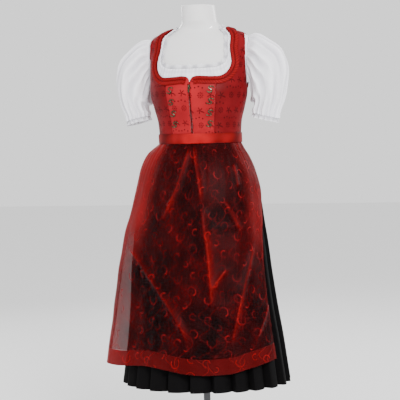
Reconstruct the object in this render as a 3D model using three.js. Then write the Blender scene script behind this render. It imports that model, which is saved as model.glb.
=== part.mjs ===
// A dirndl on a dress form: red jacquard bodice, black pleated skirt, sheer red apron and a white
// blouse with puff sleeves, standing on a limbless form with a pole and a round base.
// Millimetres, +Z up. The front faces -Y, the viewer's right is +X, and the floor is z = 0.
import * as THREE from 'three';

// Heights above the floor.
const SEAM_Z = 1006; // where the bodice is sewn to the skirt
const HEM_Z = 242;
const BLOUSE_HEM_Z = 1125; // the blouse is a short one that ends under the bust
const BAND = { top: 1037, bottom: 1005.4 };
const ARMHOLE_BOTTOM_Z = 1176;
const SLIDER_Z = 1180;

// Distances of each layer's two faces from the form, measured along its normal.
const FORM_SKIN = -0.1;
const BLOUSE = { inner: 0.9, outer: 2.1 };
const BODICE = { inner: 3.1, outer: 5.1 };
const TRIM = { inner: 6.9, low: 7.8, high: 9.7 };
const WAISTBAND = { inner: 6.5, outer: 8.5 };
// Out of sight the form and the blouse lie further in, so that nothing rubs.
const HIDDEN = { below: 1182, clearAt: 1224, form: 5, blouse: 3, shoulder: 7, middle: 1.8, lag: 34 };

const CLOTH = 1.2; // thickness of skirt, apron and sleeve walls
const HEM_CLOTH = 2.4; // the apron's hem is folded double
const SEAM_GAP = 0.3; // clear space between two pieces that are sewn together
const ZIP_GAP = 2.2; // half of the opening between the two front edges
const MM_PER_DEGREE = 2.6; // cloth that a degree around the bust takes up
const SKIRT_MM_PER_DEGREE = 3.2; // and that one around the skirt's upper half takes up
const DEG = Math.PI / 180;

const FINISH = {
  form: new THREE.MeshStandardMaterial({ color: 0xdedcd9, roughness: 0.25, metalness: 0 }),
  steel: new THREE.MeshStandardMaterial({ color: 0x3c3c3e, roughness: 0.45, metalness: 0.8 }),
  cotton: new THREE.MeshStandardMaterial({ color: 0xe6e4ea, roughness: 0.85, metalness: 0 }),
  jacquard: new THREE.MeshStandardMaterial({ color: 0xbe2323, roughness: 0.45, metalness: 0 }),
  braid: new THREE.MeshStandardMaterial({ color: 0xb81c1c, roughness: 0.5, metalness: 0 }),
  satin: new THREE.MeshStandardMaterial({ color: 0xb41612, roughness: 0.35, metalness: 0 }),
  organza: new THREE.MeshStandardMaterial({ color: 0x8c1414, roughness: 0.5, metalness: 0 }),
  skirt: new THREE.MeshStandardMaterial({ color: 0x0c0b0c, roughness: 0.8, metalness: 0 }),
  antique: new THREE.MeshStandardMaterial({ color: 0x6e6a4c, roughness: 0.45, metalness: 0.85 }),
};

// Turns rows of numbers into rows with named columns.
function table(columns, rows) {
  return rows.map((row) => Object.fromEntries(columns.map((name, k) => [name, row[k]])));
}

// The dress form, from the floor up: half of its width, how far its front and its back lie from
// the middle line, and how far that line is set back.
const FORM = table(['z', 'half', 'front', 'back', 'mid'], [
  [756, 128, 78, 88, 4],
  [770, 150, 94, 104, 4],
  [850, 160, 102, 120, 4],
  [900, 150, 97, 113, 3],
  [950, 136, 94, 103, 2],
  [985, 128, 93, 95, 1],
  [1020, 127, 93, 93, 0],
  [1070, 130, 97, 92, 0],
  [1120, 142, 108, 96, 0],
  [1165, 152, 114, 102, -3],
  [1205, 154, 109, 104, 2],
  [1260, 156, 92, 96, 10],
  [1300, 161, 76, 84, 19],
  [1325, 164, 64, 70, 25],
  [1338, 158, 57, 62, 28],
  [1349, 141, 51, 54, 31],
  [1358, 114, 47, 49, 34],
  [1367, 86, 46, 46, 36],
  [1378, 68, 48, 48, 34],
  [1395, 57, 53, 53, 28],
  [1442, 54, 54, 54, 13],
]);

// The skirt's mean surface: half width, front and back depth, and how far it hangs to one side.
// Each pleat stands out and falls in by its depth.
const SKIRT = table(['z', 'half', 'front', 'back', 'shift', 'pleat'], [
  [228, 263, 216, 229, 0, 13],
  [358, 246, 202, 217, 0, 11.5],
  [498, 229, 187, 204, -4, 10],
  [626, 218, 174, 191, -8, 8.5],
  [722, 207, 163, 182, -8, 7.5],
  [815, 190, 151, 170, -3, 6.5],
  [876, 179, 140, 158, 0, 5.5],
  [918, 168, 130, 145, 0, 4.8],
  [960, 152, 115, 122, 0, 3.6],
  [990, 137, 103, 105, 0, 1.8],
  [1006, 132.1, 98.1, 98.1, 0, 0.3],
]);
const SKIRT_ROWS = [1006, 988, 945, 850, 580, HEM_Z];
const PLEATS = 24;
// One pleat: how far along it a corner lies and how far that corner stands out.
const PLEAT_SHAPE = table(['along', 'rise'], [[0, -1], [0.13, 1], [0.55, 0.6], [0.9, -0.5]]);

// Edges drawn on the form: degrees round from the front, and height. The neckline is the front
// half, then the shoulder ridge at 90 degrees, then the back half.
const EDGE = ['turn', 'z'];
// How much of the neckline of a side piece faces its waist and side seam, and the rest its armhole.
const FACING = { front: 0.48, back: 0.12 };
const SIDE_GAP = 0.06; // degrees between the side seam and a piece's edge
const SHOULDER_GAP = 0.3;
const PRINCESS_FRONT = 31;
const PRINCESS_BACK = 154; // at the waist
const NECK_CENTRE = table(EDGE, [[0, 1199], [3, 1210], [8, 1213], [18, 1212], [31, 1211.5]]);
const NECK_SIDE = table(EDGE, [
  [31, 1211.5], [37, 1214], [43.5, 1224], [48, 1239], [49.5, 1256], [47.5, 1275], [45, 1291],
  [43, 1312], [43, 1330], [47, 1350], [61, 1362], [90, 1367],
]);
const NECK_BACK = table(EDGE, [
  [90, 1367], [125, 1360], [141, 1349], [146, 1330], [149, 1312], [154, 1299], [160, 1292],
]);
const NECK_BACK_CENTRE = table(EDGE, [[160, 1292], [170, 1288], [180, 1287]]);
const ARMHOLE_FRONT = table(EDGE, [
  [90, 1349], [79, 1346], [69, 1334], [65, 1318], [70, 1292], [76, 1265], [80, 1235],
  [85, 1200], [90, ARMHOLE_BOTTOM_Z],
]);
const ARMHOLE_BACK = table(EDGE, [
  [90, 1349], [101, 1346], [109, 1334], [113, 1314], [113, 1285], [112, 1250], [107, 1210],
  [99, 1184], [90, ARMHOLE_BOTTOM_Z],
]);
// The seam between the blouse and its sleeve, inside the bodice's armhole.
const SLEEVE_SEAM_FRONT = table(EDGE, [
  [90, 1339], [81, 1334], [76, 1318], [77, 1292], [81, 1265], [84, 1235], [88, 1208], [90, 1196],
]);
const SLEEVE_SEAM_BACK = table(EDGE, [
  [90, 1339], [99, 1334], [105, 1318], [107, 1285], [105, 1250], [101, 1224], [96, 1206], [90, 1196],
]);
const BLOUSE_NECK_FRONT = table(EDGE, [
  [0, 1238], [18, 1239], [32, 1243], [41, 1256], [43.5, 1274], [42, 1292], [40, 1315],
  [40.5, 1338], [47, 1355], [62, 1366], [90, 1369],
]);
const BLOUSE_NECK_BACK = table(EDGE, [
  [90, 1369], [127, 1363], [144, 1353], [150, 1334], [153, 1318], [162, 1307], [180, 1302],
]);

// The puff sleeve's rings, from beside the armhole to the cuff: the ring's middle, its lean from
// level, half of its size across and from front to back, how far its gathers stand out, and how
// much flatter the outer side of each sleeve is.
const RING = ['x', 'y', 'z', 'lean', 'across', 'deep', 'gather', 'flatRight', 'flatLeft'];
const SLEEVE = table(RING, [
  [180, 14, 1264, 82, 80, 40, 2, 0, 8],
  [200, 17, 1240, 70, 90, 56, 3.4, 3, 13],
  [219, 18, 1221, 56, 92, 63, 2.6, 5, 23],
  [229, 18, 1192, 42, 84, 65, 2.4, 9, 26],
  [231, 17, 1160, 27, 62, 61, 2.8, 8, 14],
  [225, 16, 1128, 10, 50, 53, 3, 4, 10],
  [217, 15, 1101, -8, 47, 46, 2.6, 8, 14],
  [215, 15, 1087, -14, 45, 44, 1.4, 6, 12],
]);
const SLEEVE_GATHERS = 16;
const LACE_WIDTH = 14;
const FRILL_WIDTH = 9;
const FRILL_WAVES = 30;

// The apron: how far it clears the skirt's pleats, how far its left side stands away, and how far
// the edge that is folded under on that side lies behind it.
const APRON_CLEAR = table(['z', 'gap', 'flare', 'tuck'], [
  [228, 12, 52, 9], [310, 12, 52, 9], [486, 11, 44, 9], [620, 10, 32, 9], [735, 9, 23, 8],
  [800, 8.5, 19, 7], [880, 8, 18, 5], [940, 6.5, 21, 3], [975, 5, 20, 2], [990, 3.5, 12, 1],
  [1004.6, 2, 0, 0],
]);
const FLARE_FROM = -42;
const FLARE_FULL = -80;
const APRON_TOP_Z = 1004.6;
const APRON_EDGE = table(['z', 'left', 'right'], [
  [228, -84, 68], [400, -84, 68], [600, -85, 70], [700, -86, 73], [780, -87, 80],
  [860, -88, 86], [1005, -88, 90],
]);
// The lower edge of the apron's hem, by degrees round from the front.
const APRON_HEM = table(['turn', 'z'], [
  [-90, 305], [-60, 308], [-30, 318], [-15, 313], [0, 302], [12, 298], [26, 300], [43, 316],
  [72, 334],
]);
const HEM_BAND = 48;
const APRON_COLUMNS = 44;
const APRON_ROWS = [0, 0.04, 0.1, 0.2, 0.32, 0.47, 0.64, 0.82, 1];
const TUCK = { reach: 12, turned: 1.2 }; // degrees that the left edge reaches back under
const APRON_GATHERS = 15;
// The apron's main folds: where each starts, bends and ends, how far it stands out and its width.
const FOLDS = table(['turn0', 'z0', 'turn1', 'z1', 'turn2', 'z2', 'rise', 'width'], [
  [-3, 1003, -8.4, 903, -24.6, 755, 10, 13],
  [2, 1003, 8, 910, 12, 816, 10, 13],
  [12, 816, 16.5, 700, 18, 490, 9, 18],
  [47.4, 940, 47, 900, 46.6, 860, 6, 13],
  [32, 830, 39, 783, 46.5, 726, 6, 13],
  [58.7, 696, 47.5, 600, 29.6, 375, 9, 14],
  [67.6, 503, 60, 460, 48.5, 400, 6, 13],
  [-64, 700, -26, 573, 1.6, 370, 8, 16],
  [31.4, 620, 22, 575, 16.5, 545, 6, 13],
]);

// Hooks: four on each side of the zip, beside the front seams, each at a height and lifted off the
// panel's flat faces.
const HOOK_TURN = 24.7;
const HOOKS = table(['z', 'lift'], [[1172, 0.15], [1137, 0.3], [1101, 0.4], [1067, 0.9]]);
const HOOK = { band: 4.2, thick: 2.2 };
// The middle line of a hook's scroll, across and up from its middle.
const SCROLL = table(['across', 'up'], [
  [10.4, 3.6], [9, 6.9], [4.5, 8.3], [-0.6, 8], [-4.4, 5.2], [-3, 1.8], [3, -1.8], [4.4, -5.2],
  [0.6, -8], [-4.5, -8.3], [-9, -6.9], [-10.4, -3.6],
]);

// The zip's parts lie on the bodice one on another: chain, slider, bail, and the tab in the bail.
const CHAIN_TOP_Z = 1196;
const SLIDER = { wide: 8, deep: 2.4, high: 12 };
const BAIL = { wide: 1.6, reach: 4.7, inside: 3.5, rise: 3.4, clear: 2.2 };
const TAB = { thick: 1.2, above: 1.1, down: 2.4 };
const TAB_OUTLINE = table(['across', 'up'], [
  [-2.4, 0.7], [2.4, 0.7], [3, -6], [3, -14], [1.8, -15.4], [0, -15.9], [-1.8, -15.4], [-3, -14],
  [-3, -6],
]);
const TAB_EYE = table(['across', 'up'], [[-1.3, -0.7], [-1.3, -5.2], [1.3, -5.2], [1.3, -0.7]]);

// The apron's bow at the back: the knot's half sizes, a loop's reach and half heights, and a tail.
const KNOT = { across: 13, deep: 8, high: 17 };
const LOOP = { from: 14.5, reach: 78, half: 11, halfEnd: 19, drop: 26, deep: 12, bulge: 8, lift: 10 };
const TAIL = { length: 380, turn: 4, spread: 7, half: 10, halfEnd: 15, lift: 3.5, from: 7.5, below: 17.5 };

const STAND = { pole: 11, base: 160, plate: 10, rim: 4, hub: 24, hubTop: 40 };

const dirndl = new THREE.Group();

function mix(a, b, t) {
  return a + (b - a) * t;
}

function clamp01(t) {
  return Math.min(1, Math.max(0, t));
}

// Rises smoothly from 0 to 1 while t goes from start to end.
function ease(start, end, t) {
  const s = clamp01((t - start) / (end - start));
  return s * s * (3 - 2 * s);
}

// Numbers from 0 to 1 in equal steps.
function steps(count) {
  return Array.from({ length: count + 1 }, (_, k) => k / count);
}

// Reads a column of a table on a smooth curve through its rows, which never swings past them.
function smooth(rows, key, column, at) {
  const last = rows.length - 1;
  let k = 0;
  while (k < last - 1 && at > rows[k + 1][key]) k += 1;
  const slope = (i) => (rows[i + 1][column] - rows[i][column]) / (rows[i + 1][key] - rows[i][key]);
  const tangent = (i) => {
    if (i === 0) return slope(0);
    if (i === last) return slope(last - 1);
    const before = slope(i - 1);
    const after = slope(i);
    return before * after <= 0 ? 0 : (2 * before * after) / (before + after);
  };
  const span = rows[k + 1][key] - rows[k][key];
  const t = clamp01((at - rows[k][key]) / span);
  const rise = rows[k + 1][column] - rows[k][column];
  const bend = span * (tangent(k) * (1 - t) - tangent(k + 1) * t);
  return rows[k][column] + rise * t * t * (3 - 2 * t) + bend * t * (1 - t);
}

function sectionOf(rows, columns, z) {
  return Object.fromEntries(columns.map((name) => [name, smooth(rows, 'z', name, z)]));
}

function formSection(z) {
  return sectionOf(FORM, ['half', 'front', 'back', 'mid'], z);
}

// 1 on the form, less inside it and more outside it.
function formLevel(x, y, z) {
  const s = formSection(z);
  const depth = y < s.mid ? s.front : s.back;
  return (x / s.half) ** 2 + ((y - s.mid) / depth) ** 2;
}

function formGradient(p) {
  const h = 0.5;
  return new THREE.Vector3(
    (formLevel(p.x + h, p.y, p.z) - formLevel(p.x - h, p.y, p.z)) / (2 * h),
    (formLevel(p.x, p.y + h, p.z) - formLevel(p.x, p.y - h, p.z)) / (2 * h),
    (formLevel(p.x, p.y, p.z + h) - formLevel(p.x, p.y, p.z - h)) / (2 * h),
  );
}

// A point over the form, by degrees round from the front, height, and distance from the form.
function overForm(turn, z, off) {
  const s = formSection(z);
  const depth = Math.cos(turn * DEG) > 0 ? s.front : s.back;
  const p = new THREE.Vector3(
    s.half * Math.sin(turn * DEG),
    s.mid - depth * Math.cos(turn * DEG),
    z,
  );
  return p.addScaledVector(formGradient(p).normalize(), off);
}

// The nearest point of the form to p, moved out by off.
function ontoForm(p, off) {
  const q = p.clone();
  for (let pass = 0; pass < 8; pass += 1) {
    const gradient = formGradient(q);
    const size = gradient.length();
    q.addScaledVector(gradient.divideScalar(size), (1 - formLevel(q.x, q.y, q.z)) / size);
  }
  return q.addScaledVector(formGradient(q).normalize(), off);
}

// An edge on the form as a function of the share of its length.
function edgePath(rows) {
  const points = rows.map((row) => new THREE.Vector3(row.turn * MM_PER_DEGREE, row.z, 0));
  const curve = new THREE.CatmullRomCurve3(points, false, 'centripetal');
  return (share) => {
    const p = curve.getPointAt(clamp01(share));
    return { turn: p.x / MM_PER_DEGREE, z: p.y };
  };
}

// Makes one closed mesh of points and faces, with its faces pointing out.
function solid(points, faces) {
  let volume = 0;
  for (const [a, b, c] of faces) {
    volume += points[a].dot(points[b].clone().cross(points[c]));
  }
  const index = volume > 0 ? faces.flat() : faces.map(([a, b, c]) => [a, c, b]).flat();
  const geometry = new THREE.BufferGeometry();
  geometry.setFromPoints(points);
  geometry.setIndex(index);
  return geometry;
}

// A wall between two grids of points, open or closed round its first direction.
function wall(outer, inner, closed) {
  const rows = outer.length;
  const columns = outer[0].length;
  const at = (i, j, side) => side * rows * columns + (i % rows) * columns + j;
  const faces = [];
  const points = [...outer.flat(), ...inner.flat()];
  const quad = (a, b, c, d) => {
    const short = points[a].distanceTo(points[c]) < points[b].distanceTo(points[d]) + 1e-6;
    faces.push(...(short ? [[a, b, c], [a, c, d]] : [[a, b, d], [b, c, d]]));
  };
  const spans = closed ? rows : rows - 1;
  const end = columns - 1;
  for (let i = 0; i < spans; i += 1) {
    for (let j = 0; j < end; j += 1) {
      quad(at(i, j, 0), at(i + 1, j, 0), at(i + 1, j + 1, 0), at(i, j + 1, 0));
      quad(at(i, j, 1), at(i, j + 1, 1), at(i + 1, j + 1, 1), at(i + 1, j, 1));
    }
    quad(at(i, 0, 1), at(i + 1, 0, 1), at(i + 1, 0, 0), at(i, 0, 0));
    quad(at(i, end, 0), at(i + 1, end, 0), at(i + 1, end, 1), at(i, end, 1));
  }
  for (let j = 0; j < end && !closed; j += 1) {
    quad(at(0, j, 0), at(0, j + 1, 0), at(0, j + 1, 1), at(0, j, 1));
    quad(at(rows - 1, j, 1), at(rows - 1, j + 1, 1), at(rows - 1, j + 1, 0), at(rows - 1, j, 0));
  }
  return solid(points, faces);
}

// A solid between rings of points that is closed by a flat cap at both ends.
function capped(rings) {
  const around = rings[0].length;
  const middle = (ring) => {
    return ring.reduce((sum, p) => sum.add(p), new THREE.Vector3()).divideScalar(around);
  };
  const points = [...rings.flat(), middle(rings[0]), middle(rings.at(-1))];
  const first = rings.length * around;
  const top = (rings.length - 1) * around;
  const faces = [];
  for (let k = 0; k < around; k += 1) {
    const next = (k + 1) % around;
    for (let row = 0; row < rings.length - 1; row += 1) {
      const a = row * around;
      faces.push([a + k, a + next, a + around + next], [a + k, a + around + next, a + around + k]);
    }
    faces.push([first, next, k], [first + 1, top + k, top + next]);
  }
  return solid(points, faces);
}

// The grid moved in by the cloth's thickness, across the cloth at each of its points.
function movedIn(grid, thickness, closed) {
  const last = grid.length - 1;
  const end = grid[0].length - 1;
  return grid.map((row, i) => row.map((p, j) => {
    const before = closed ? grid[(i + last) % (last + 1)][j] : grid[Math.max(i - 1, 0)][j];
    const after = closed ? grid[(i + 1) % (last + 1)][j] : grid[Math.min(i + 1, last)][j];
    const along = after.clone().sub(before);
    const down = row[Math.min(j + 1, end)].clone().sub(row[Math.max(j - 1, 0)]);
    return p.clone().addScaledVector(down.cross(along).normalize(), -thickness);
  }));
}

function add(name, geometry, finish) {
  const mesh = new THREE.Mesh(geometry, finish);
  mesh.name = name;
  dirndl.add(mesh);
  return mesh;
}

// The same grid on the other side of the middle plane.
function mirrored(grid) {
  return grid.map((row) => row.map((p) => new THREE.Vector3(-p.x, p.y, p.z)));
}

// Adds a piece's right and left copies, made from its outer and inner grids.
function addPair(name, outer, inner, finish, closed = false) {
  add(`${name}_right`, wall(outer, inner, closed), finish);
  add(`${name}_left`, wall(mirrored(outer), mirrored(inner), closed), finish);
}

// A panel's points between two edges that have the same number of stops. Its distance from the
// form is off, less what sink says for the height and the share of the way across.
function between(from, to, rows, off, sink = () => 0) {
  return from.map((start, i) => steps(rows).map((t) => {
    const z = mix(start.z, to[i].z, t);
    return overForm(mix(start.turn, to[i].turn, t), z, off - sink(z, t));
  }));
}

function hiddenShare(z) {
  return 1 - ease(HIDDEN.below, HIDDEN.clearAt, z);
}

// The dress form with its neck cut flat, its pole and its base.
function addForm() {
  const around = 28;
  const heights = FORM.map((row) => row.z);
  heights.splice(heights.length - 1, 0, 1418);
  const rings = heights.map((z) => Array.from({ length: around }, (_, k) => {
    const turn = (360 * k) / around;
    const isBack = turn > 100 && turn < 260;
    const sideways = isBack ? 1 : ease(34, 46, Math.min(turn, 360 - turn));
    const underStrap = sideways * ease(1225, 1290, z) * (1 - ease(1368, 1382, z));
    const sunk = HIDDEN.form * hiddenShare(z - HIDDEN.lag) + HIDDEN.shoulder * underStrap;
    const p = overForm(turn, z, FORM_SKIN - sunk);
    return z === heights[0] || z === heights.at(-1) ? p.setZ(z) : p;
  }));
  add('form_torso', capped(rings), FINISH.form);

  const poleBottom = STAND.hubTop + SEAM_GAP;
  const poleTop = FORM[0].z - SEAM_GAP;
  const pole = new THREE.CylinderGeometry(STAND.pole, STAND.pole, poleTop - poleBottom, 16);
  pole.rotateX(90 * DEG);
  pole.translate(0, 0, (poleTop + poleBottom) / 2);
  add('form_pole', pole, FINISH.steel);

  const profile = [
    [0, 0], [STAND.base - STAND.rim, 0], [STAND.base, STAND.rim], [STAND.base - STAND.rim, STAND.plate],
    [STAND.hub, STAND.plate + 4], [STAND.pole + 3, STAND.hubTop], [0, STAND.hubTop],
  ].map(([radius, z]) => new THREE.Vector2(radius, z));
  const base = new THREE.LatheGeometry(profile, 24);
  base.rotateX(90 * DEG);
  add('form_base', base, FINISH.steel);
}

// Stops of a front or back side piece: its neckline, and its waist, side seam and armhole. The
// share of the neckline that faces the waist and side seam is underarm.
function sideStops(neck, waistFrom, armhole, side, underarm) {
  const counts = { waist: 7, side: 5, armhole: 8 };
  const total = counts.waist + counts.side + counts.armhole;
  const sideTurn = 90 + side * SIDE_GAP;
  const bottom = SEAM_Z + SEAM_GAP;
  const facing = (counts.waist + counts.side) / total;
  const neckPath = edgePath(neck);
  const armholePath = edgePath(armhole);
  const neckline = steps(total).map((t) => {
    const past = (t - facing) / (1 - facing);
    return neckPath(t < facing ? mix(0, underarm, t / facing) : mix(underarm, 1, past));
  });
  const outline = [
    ...steps(counts.waist).map((t) => ({ turn: mix(waistFrom, sideTurn, t), z: bottom })),
    ...steps(counts.side).slice(1).map((t) => {
      return { turn: sideTurn, z: mix(bottom, ARMHOLE_BOTTOM_Z, t) };
    }),
    ...steps(counts.armhole).slice(1).map((t) => armholePath(1 - t)),
  ];
  return [neckline, outline];
}

// Moves the stops at the shoulder off the ridge, so the front and back straps stay apart.
function atShoulder(stops, side) {
  stops.at(-1).turn = 90 + side * SHOULDER_GAP;
}

function addBodice() {
  const rows = 7;
  const seamTurn = (SEAM_GAP / 2 / 130) / DEG;
  const centreTop = steps(4).map(edgePath(NECK_CENTRE));
  centreTop[0].turn = ZIP_GAP / 110 / DEG;
  centreTop.at(-1).turn -= seamTurn;
  const centreBottom = steps(4).map((t) => {
    return { turn: mix(ZIP_GAP / 93 / DEG, PRINCESS_FRONT - seamTurn, t), z: SEAM_Z + SEAM_GAP };
  });
  const centre = (off) => between(centreTop, centreBottom, rows, off);
  addPair('bodice_front_centre', centre(BODICE.outer), centre(BODICE.inner), FINISH.jacquard);

  const frontFrom = PRINCESS_FRONT + seamTurn;
  const [neckFront, outlineFront] = sideStops(NECK_SIDE, frontFrom, ARMHOLE_FRONT, -1, FACING.front);
  neckFront[0].turn += seamTurn;
  atShoulder(neckFront, -1);
  atShoulder(outlineFront, -1);
  const front = (off) => between(neckFront, outlineFront, rows, off);
  addPair('bodice_front_side', front(BODICE.outer), front(BODICE.inner), FINISH.jacquard);

  const backwards = [...NECK_BACK].reverse();
  const backFrom = PRINCESS_BACK - seamTurn;
  const [neckBack, outlineBack] = sideStops(backwards, backFrom, ARMHOLE_BACK, 1, FACING.back);
  neckBack[0].turn -= seamTurn;
  atShoulder(neckBack, 1);
  atShoulder(outlineBack, 1);
  const back = (off) => between(neckBack, outlineBack, rows, off);
  addPair('bodice_back_side', back(BODICE.outer), back(BODICE.inner), FINISH.jacquard);

  const half = steps(3).map(edgePath(NECK_BACK_CENTRE));
  half[0].turn += seamTurn;
  const otherHalf = half.slice(0, -1).reverse().map((p) => ({ turn: 360 - p.turn, z: p.z }));
  const top = [...half, ...otherHalf];
  const bottom = steps(6).map((t) => {
    const from = PRINCESS_BACK + seamTurn;
    return { turn: mix(from, 360 - from, t), z: SEAM_Z + SEAM_GAP };
  });
  const middle = (off) => between(top, bottom, rows, off);
  const panel = wall(middle(BODICE.outer), middle(BODICE.inner), false);
  add('bodice_back_centre', panel, FINISH.jacquard);
}

// The blouse's front or back: from one shoulder round the neckline to the other.
function addBlouseHalf(name, neck, sleeveSeam, middleTurn, side) {
  const counts = { armhole: 7, side: 2, hem: 9 };
  const total = counts.armhole + counts.side + counts.hem;
  const sideTurn = 90 + side * SIDE_GAP;
  const neckline = steps(total).map(edgePath(neck));
  const outline = [
    ...steps(counts.armhole).map(edgePath(sleeveSeam)),
    ...steps(counts.side).slice(1).map((t) => {
      return { turn: sideTurn, z: mix(sleeveSeam.at(-1).z, BLOUSE_HEM_Z, t) };
    }),
    ...steps(counts.hem).slice(1).map((t) => {
      return { turn: mix(sideTurn, middleTurn, t), z: BLOUSE_HEM_Z };
    }),
  ];
  neckline[0].turn = 90 + side * SHOULDER_GAP;
  outline[0].turn = 90 + side * SHOULDER_GAP;
  outline[counts.armhole].turn = sideTurn;
  const sink = (z, t) => HIDDEN.blouse * hiddenShare(z) + HIDDEN.middle * Math.sin(Math.PI * t);
  const grid = (off) => {
    const right = between(neckline, outline, 5, off, sink);
    return [...right, ...mirrored(right).reverse().slice(1)];
  };
  add(name, wall(grid(BLOUSE.outer), grid(BLOUSE.inner), false), FINISH.cotton);
}

// A point of a sleeve's ring: 0 degrees is its outer side and 180 the side next to the body.
function sleeveRingPoint(ring, angle, out, flat) {
  const lean = ring.lean * DEG;
  const across = (ring.across + out) * Math.cos(angle) - ring[flat] * Math.max(Math.cos(angle), 0);
  const deep = (ring.deep + out) * Math.sin(angle);
  return new THREE.Vector3(
    ring.x + across * Math.cos(lean),
    ring.y + deep,
    ring.z + across * Math.sin(lean),
  );
}

function sleeveGrid(flat) {
  const around = 2 * SLEEVE_GATHERS;
  const rootOff = 3.4;
  return Array.from({ length: around }, (_, k) => {
    const angle = (2 * Math.PI * k) / around;
    const signed = angle > Math.PI ? angle - 2 * Math.PI : angle;
    const seam = signed < 0 ? SLEEVE_SEAM_FRONT : SLEEVE_SEAM_BACK;
    const edge = edgePath(seam)(Math.abs(signed) / Math.PI);
    const stands = k % 2 === 0 ? 1 : -1;
    return [
      overForm(edge.turn, edge.z, rootOff),
      ...SLEEVE.map((ring) => sleeveRingPoint(ring, angle, stands * ring.gather, flat)),
    ];
  });
}

// The lace at the cuff stands below the sleeve and waves in and out.
function cuffLaceGrid(flat) {
  const cuff = SLEEVE.at(-1);
  const lean = cuff.lean * DEG;
  const along = new THREE.Vector3(Math.sin(lean), 0, -Math.cos(lean));
  const waves = 14;
  return Array.from({ length: 2 * waves }, (_, k) => {
    const angle = (Math.PI * k) / waves;
    const stands = k % 2 === 0 ? 1 : -1;
    const down = (distance, out) => {
      return sleeveRingPoint(cuff, angle, out, flat).addScaledVector(along, distance);
    };
    return [down(0.8, 0), down(LACE_WIDTH, 1 + stands * 3.5)];
  });
}

function addSleeves() {
  for (const [word, flat] of [['right', 'flatRight'], ['left', 'flatLeft']]) {
    const facing = (grid) => (word === 'left' ? mirrored(grid) : grid.reverse());
    const sleeve = facing(sleeveGrid(flat));
    add(`sleeve_${word}`, wall(sleeve, movedIn(sleeve, CLOTH, true), true), FINISH.cotton);
    const lace = facing(cuffLaceGrid(flat));
    add(`cuff_lace_${word}`, wall(lace, movedIn(lace, CLOTH, true), true), FINISH.cotton);
  }
}

// Points of a band that runs along an edge of the form, given by its distances from that edge.
function alongEdge(stops, distances, offs) {
  return stops.map((stop, i) => {
    const here = overForm(stop.turn, stop.z, 0);
    const before = stops[Math.max(i - 1, 0)];
    const after = stops[Math.min(i + 1, stops.length - 1)];
    const run = overForm(after.turn, after.z, 0).sub(overForm(before.turn, before.z, 0)).normalize();
    const across = run.cross(formGradient(here).normalize());
    return distances.map((distance, j) => {
      const p = here.clone().addScaledVector(across, distance);
      return ontoForm(p, offs(i, j));
    });
  });
}

// The lace frill along the blouse's neckline, lying on the form with small waves.
function addNeckFrill() {
  const front = edgePath(BLOUSE_NECK_FRONT);
  const back = edgePath(BLOUSE_NECK_BACK);
  const perHalf = FRILL_WAVES / 2;
  const half = steps(2 * perHalf).map((t) => (t < 0.58 ? front(t / 0.58) : back((t - 0.58) / 0.42)));
  const stops = [...half, ...half.slice(1, -1).reverse().map((p) => ({ turn: -p.turn, z: p.z }))];
  const looped = [stops.at(-1), ...stops, stops[0]];
  const band = (base) => {
    const wave = (i, j) => base + 0.5 + (j === 1 ? 1.6 + (i % 2 === 0 ? 1.6 : -1.2) : 0);
    return alongEdge(looped, [-1.4, -FRILL_WIDTH], wave).slice(1, -1);
  };
  add('neck_frill', wall(band(BLOUSE.outer), band(BLOUSE.inner), true), FINISH.cotton);
}

// Two gathered trims follow the bodice's neckline on each side, from the zip to the middle back.
function addTrims() {
  const ridges = 40;
  const startTurn = 3.2;
  const start = { turn: startTurn, z: 1210 };
  const front = edgePath([start, ...NECK_CENTRE.slice(2), ...NECK_SIDE.slice(1)]);
  const backRows = [...NECK_BACK, ...NECK_BACK_CENTRE.slice(1)];
  const back = edgePath(backRows.map((p) => ({ turn: Math.min(p.turn, 179.8), z: p.z })));
  const stops = steps(ridges).map((t) => (t < 0.6 ? front(t / 0.6) : back((t - 0.6) / 0.4)));
  const bands = { inner: [0.4, 11], outer: [12, 25] };
  for (const [name, distances] of Object.entries(bands)) {
    const ridged = (i) => (i % 2 === 0 ? TRIM.high : TRIM.low);
    const outer = alongEdge(stops, distances, ridged);
    const inner = alongEdge(stops, distances, () => TRIM.inner);
    addPair(`trim_${name}`, outer, inner, FINISH.braid);
  }
}

function addWaistband() {
  const around = 48;
  const ring = (off) => Array.from({ length: around }, (_, k) => {
    return [BAND.top, BAND.bottom].map((z) => overForm((360 * k) / around, z, off));
  });
  add('waistband', wall(ring(WAISTBAND.outer), ring(WAISTBAND.inner), true), FINISH.satin);
}

// A point over the skirt's mean surface.
function overSkirt(turn, z, off) {
  const s = sectionOf(SKIRT, ['half', 'front', 'back', 'shift'], z);
  const depth = Math.cos(turn * DEG) > 0 ? s.front : s.back;
  return new THREE.Vector3(
    s.shift + (s.half + off) * Math.sin(turn * DEG),
    -(depth + off) * Math.cos(turn * DEG),
    z,
  );
}

function addSkirt() {
  const grid = [];
  for (let pleat = 0; pleat < PLEATS; pleat += 1) {
    for (const corner of PLEAT_SHAPE) {
      const turn = (360 * (pleat + corner.along)) / PLEATS;
      grid.push(SKIRT_ROWS.map((z) => overSkirt(turn, z, corner.rise * smooth(SKIRT, 'z', 'pleat', z))));
    }
  }
  add('skirt', wall(grid, movedIn(grid, CLOTH, true), true), FINISH.skirt);
}

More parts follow.
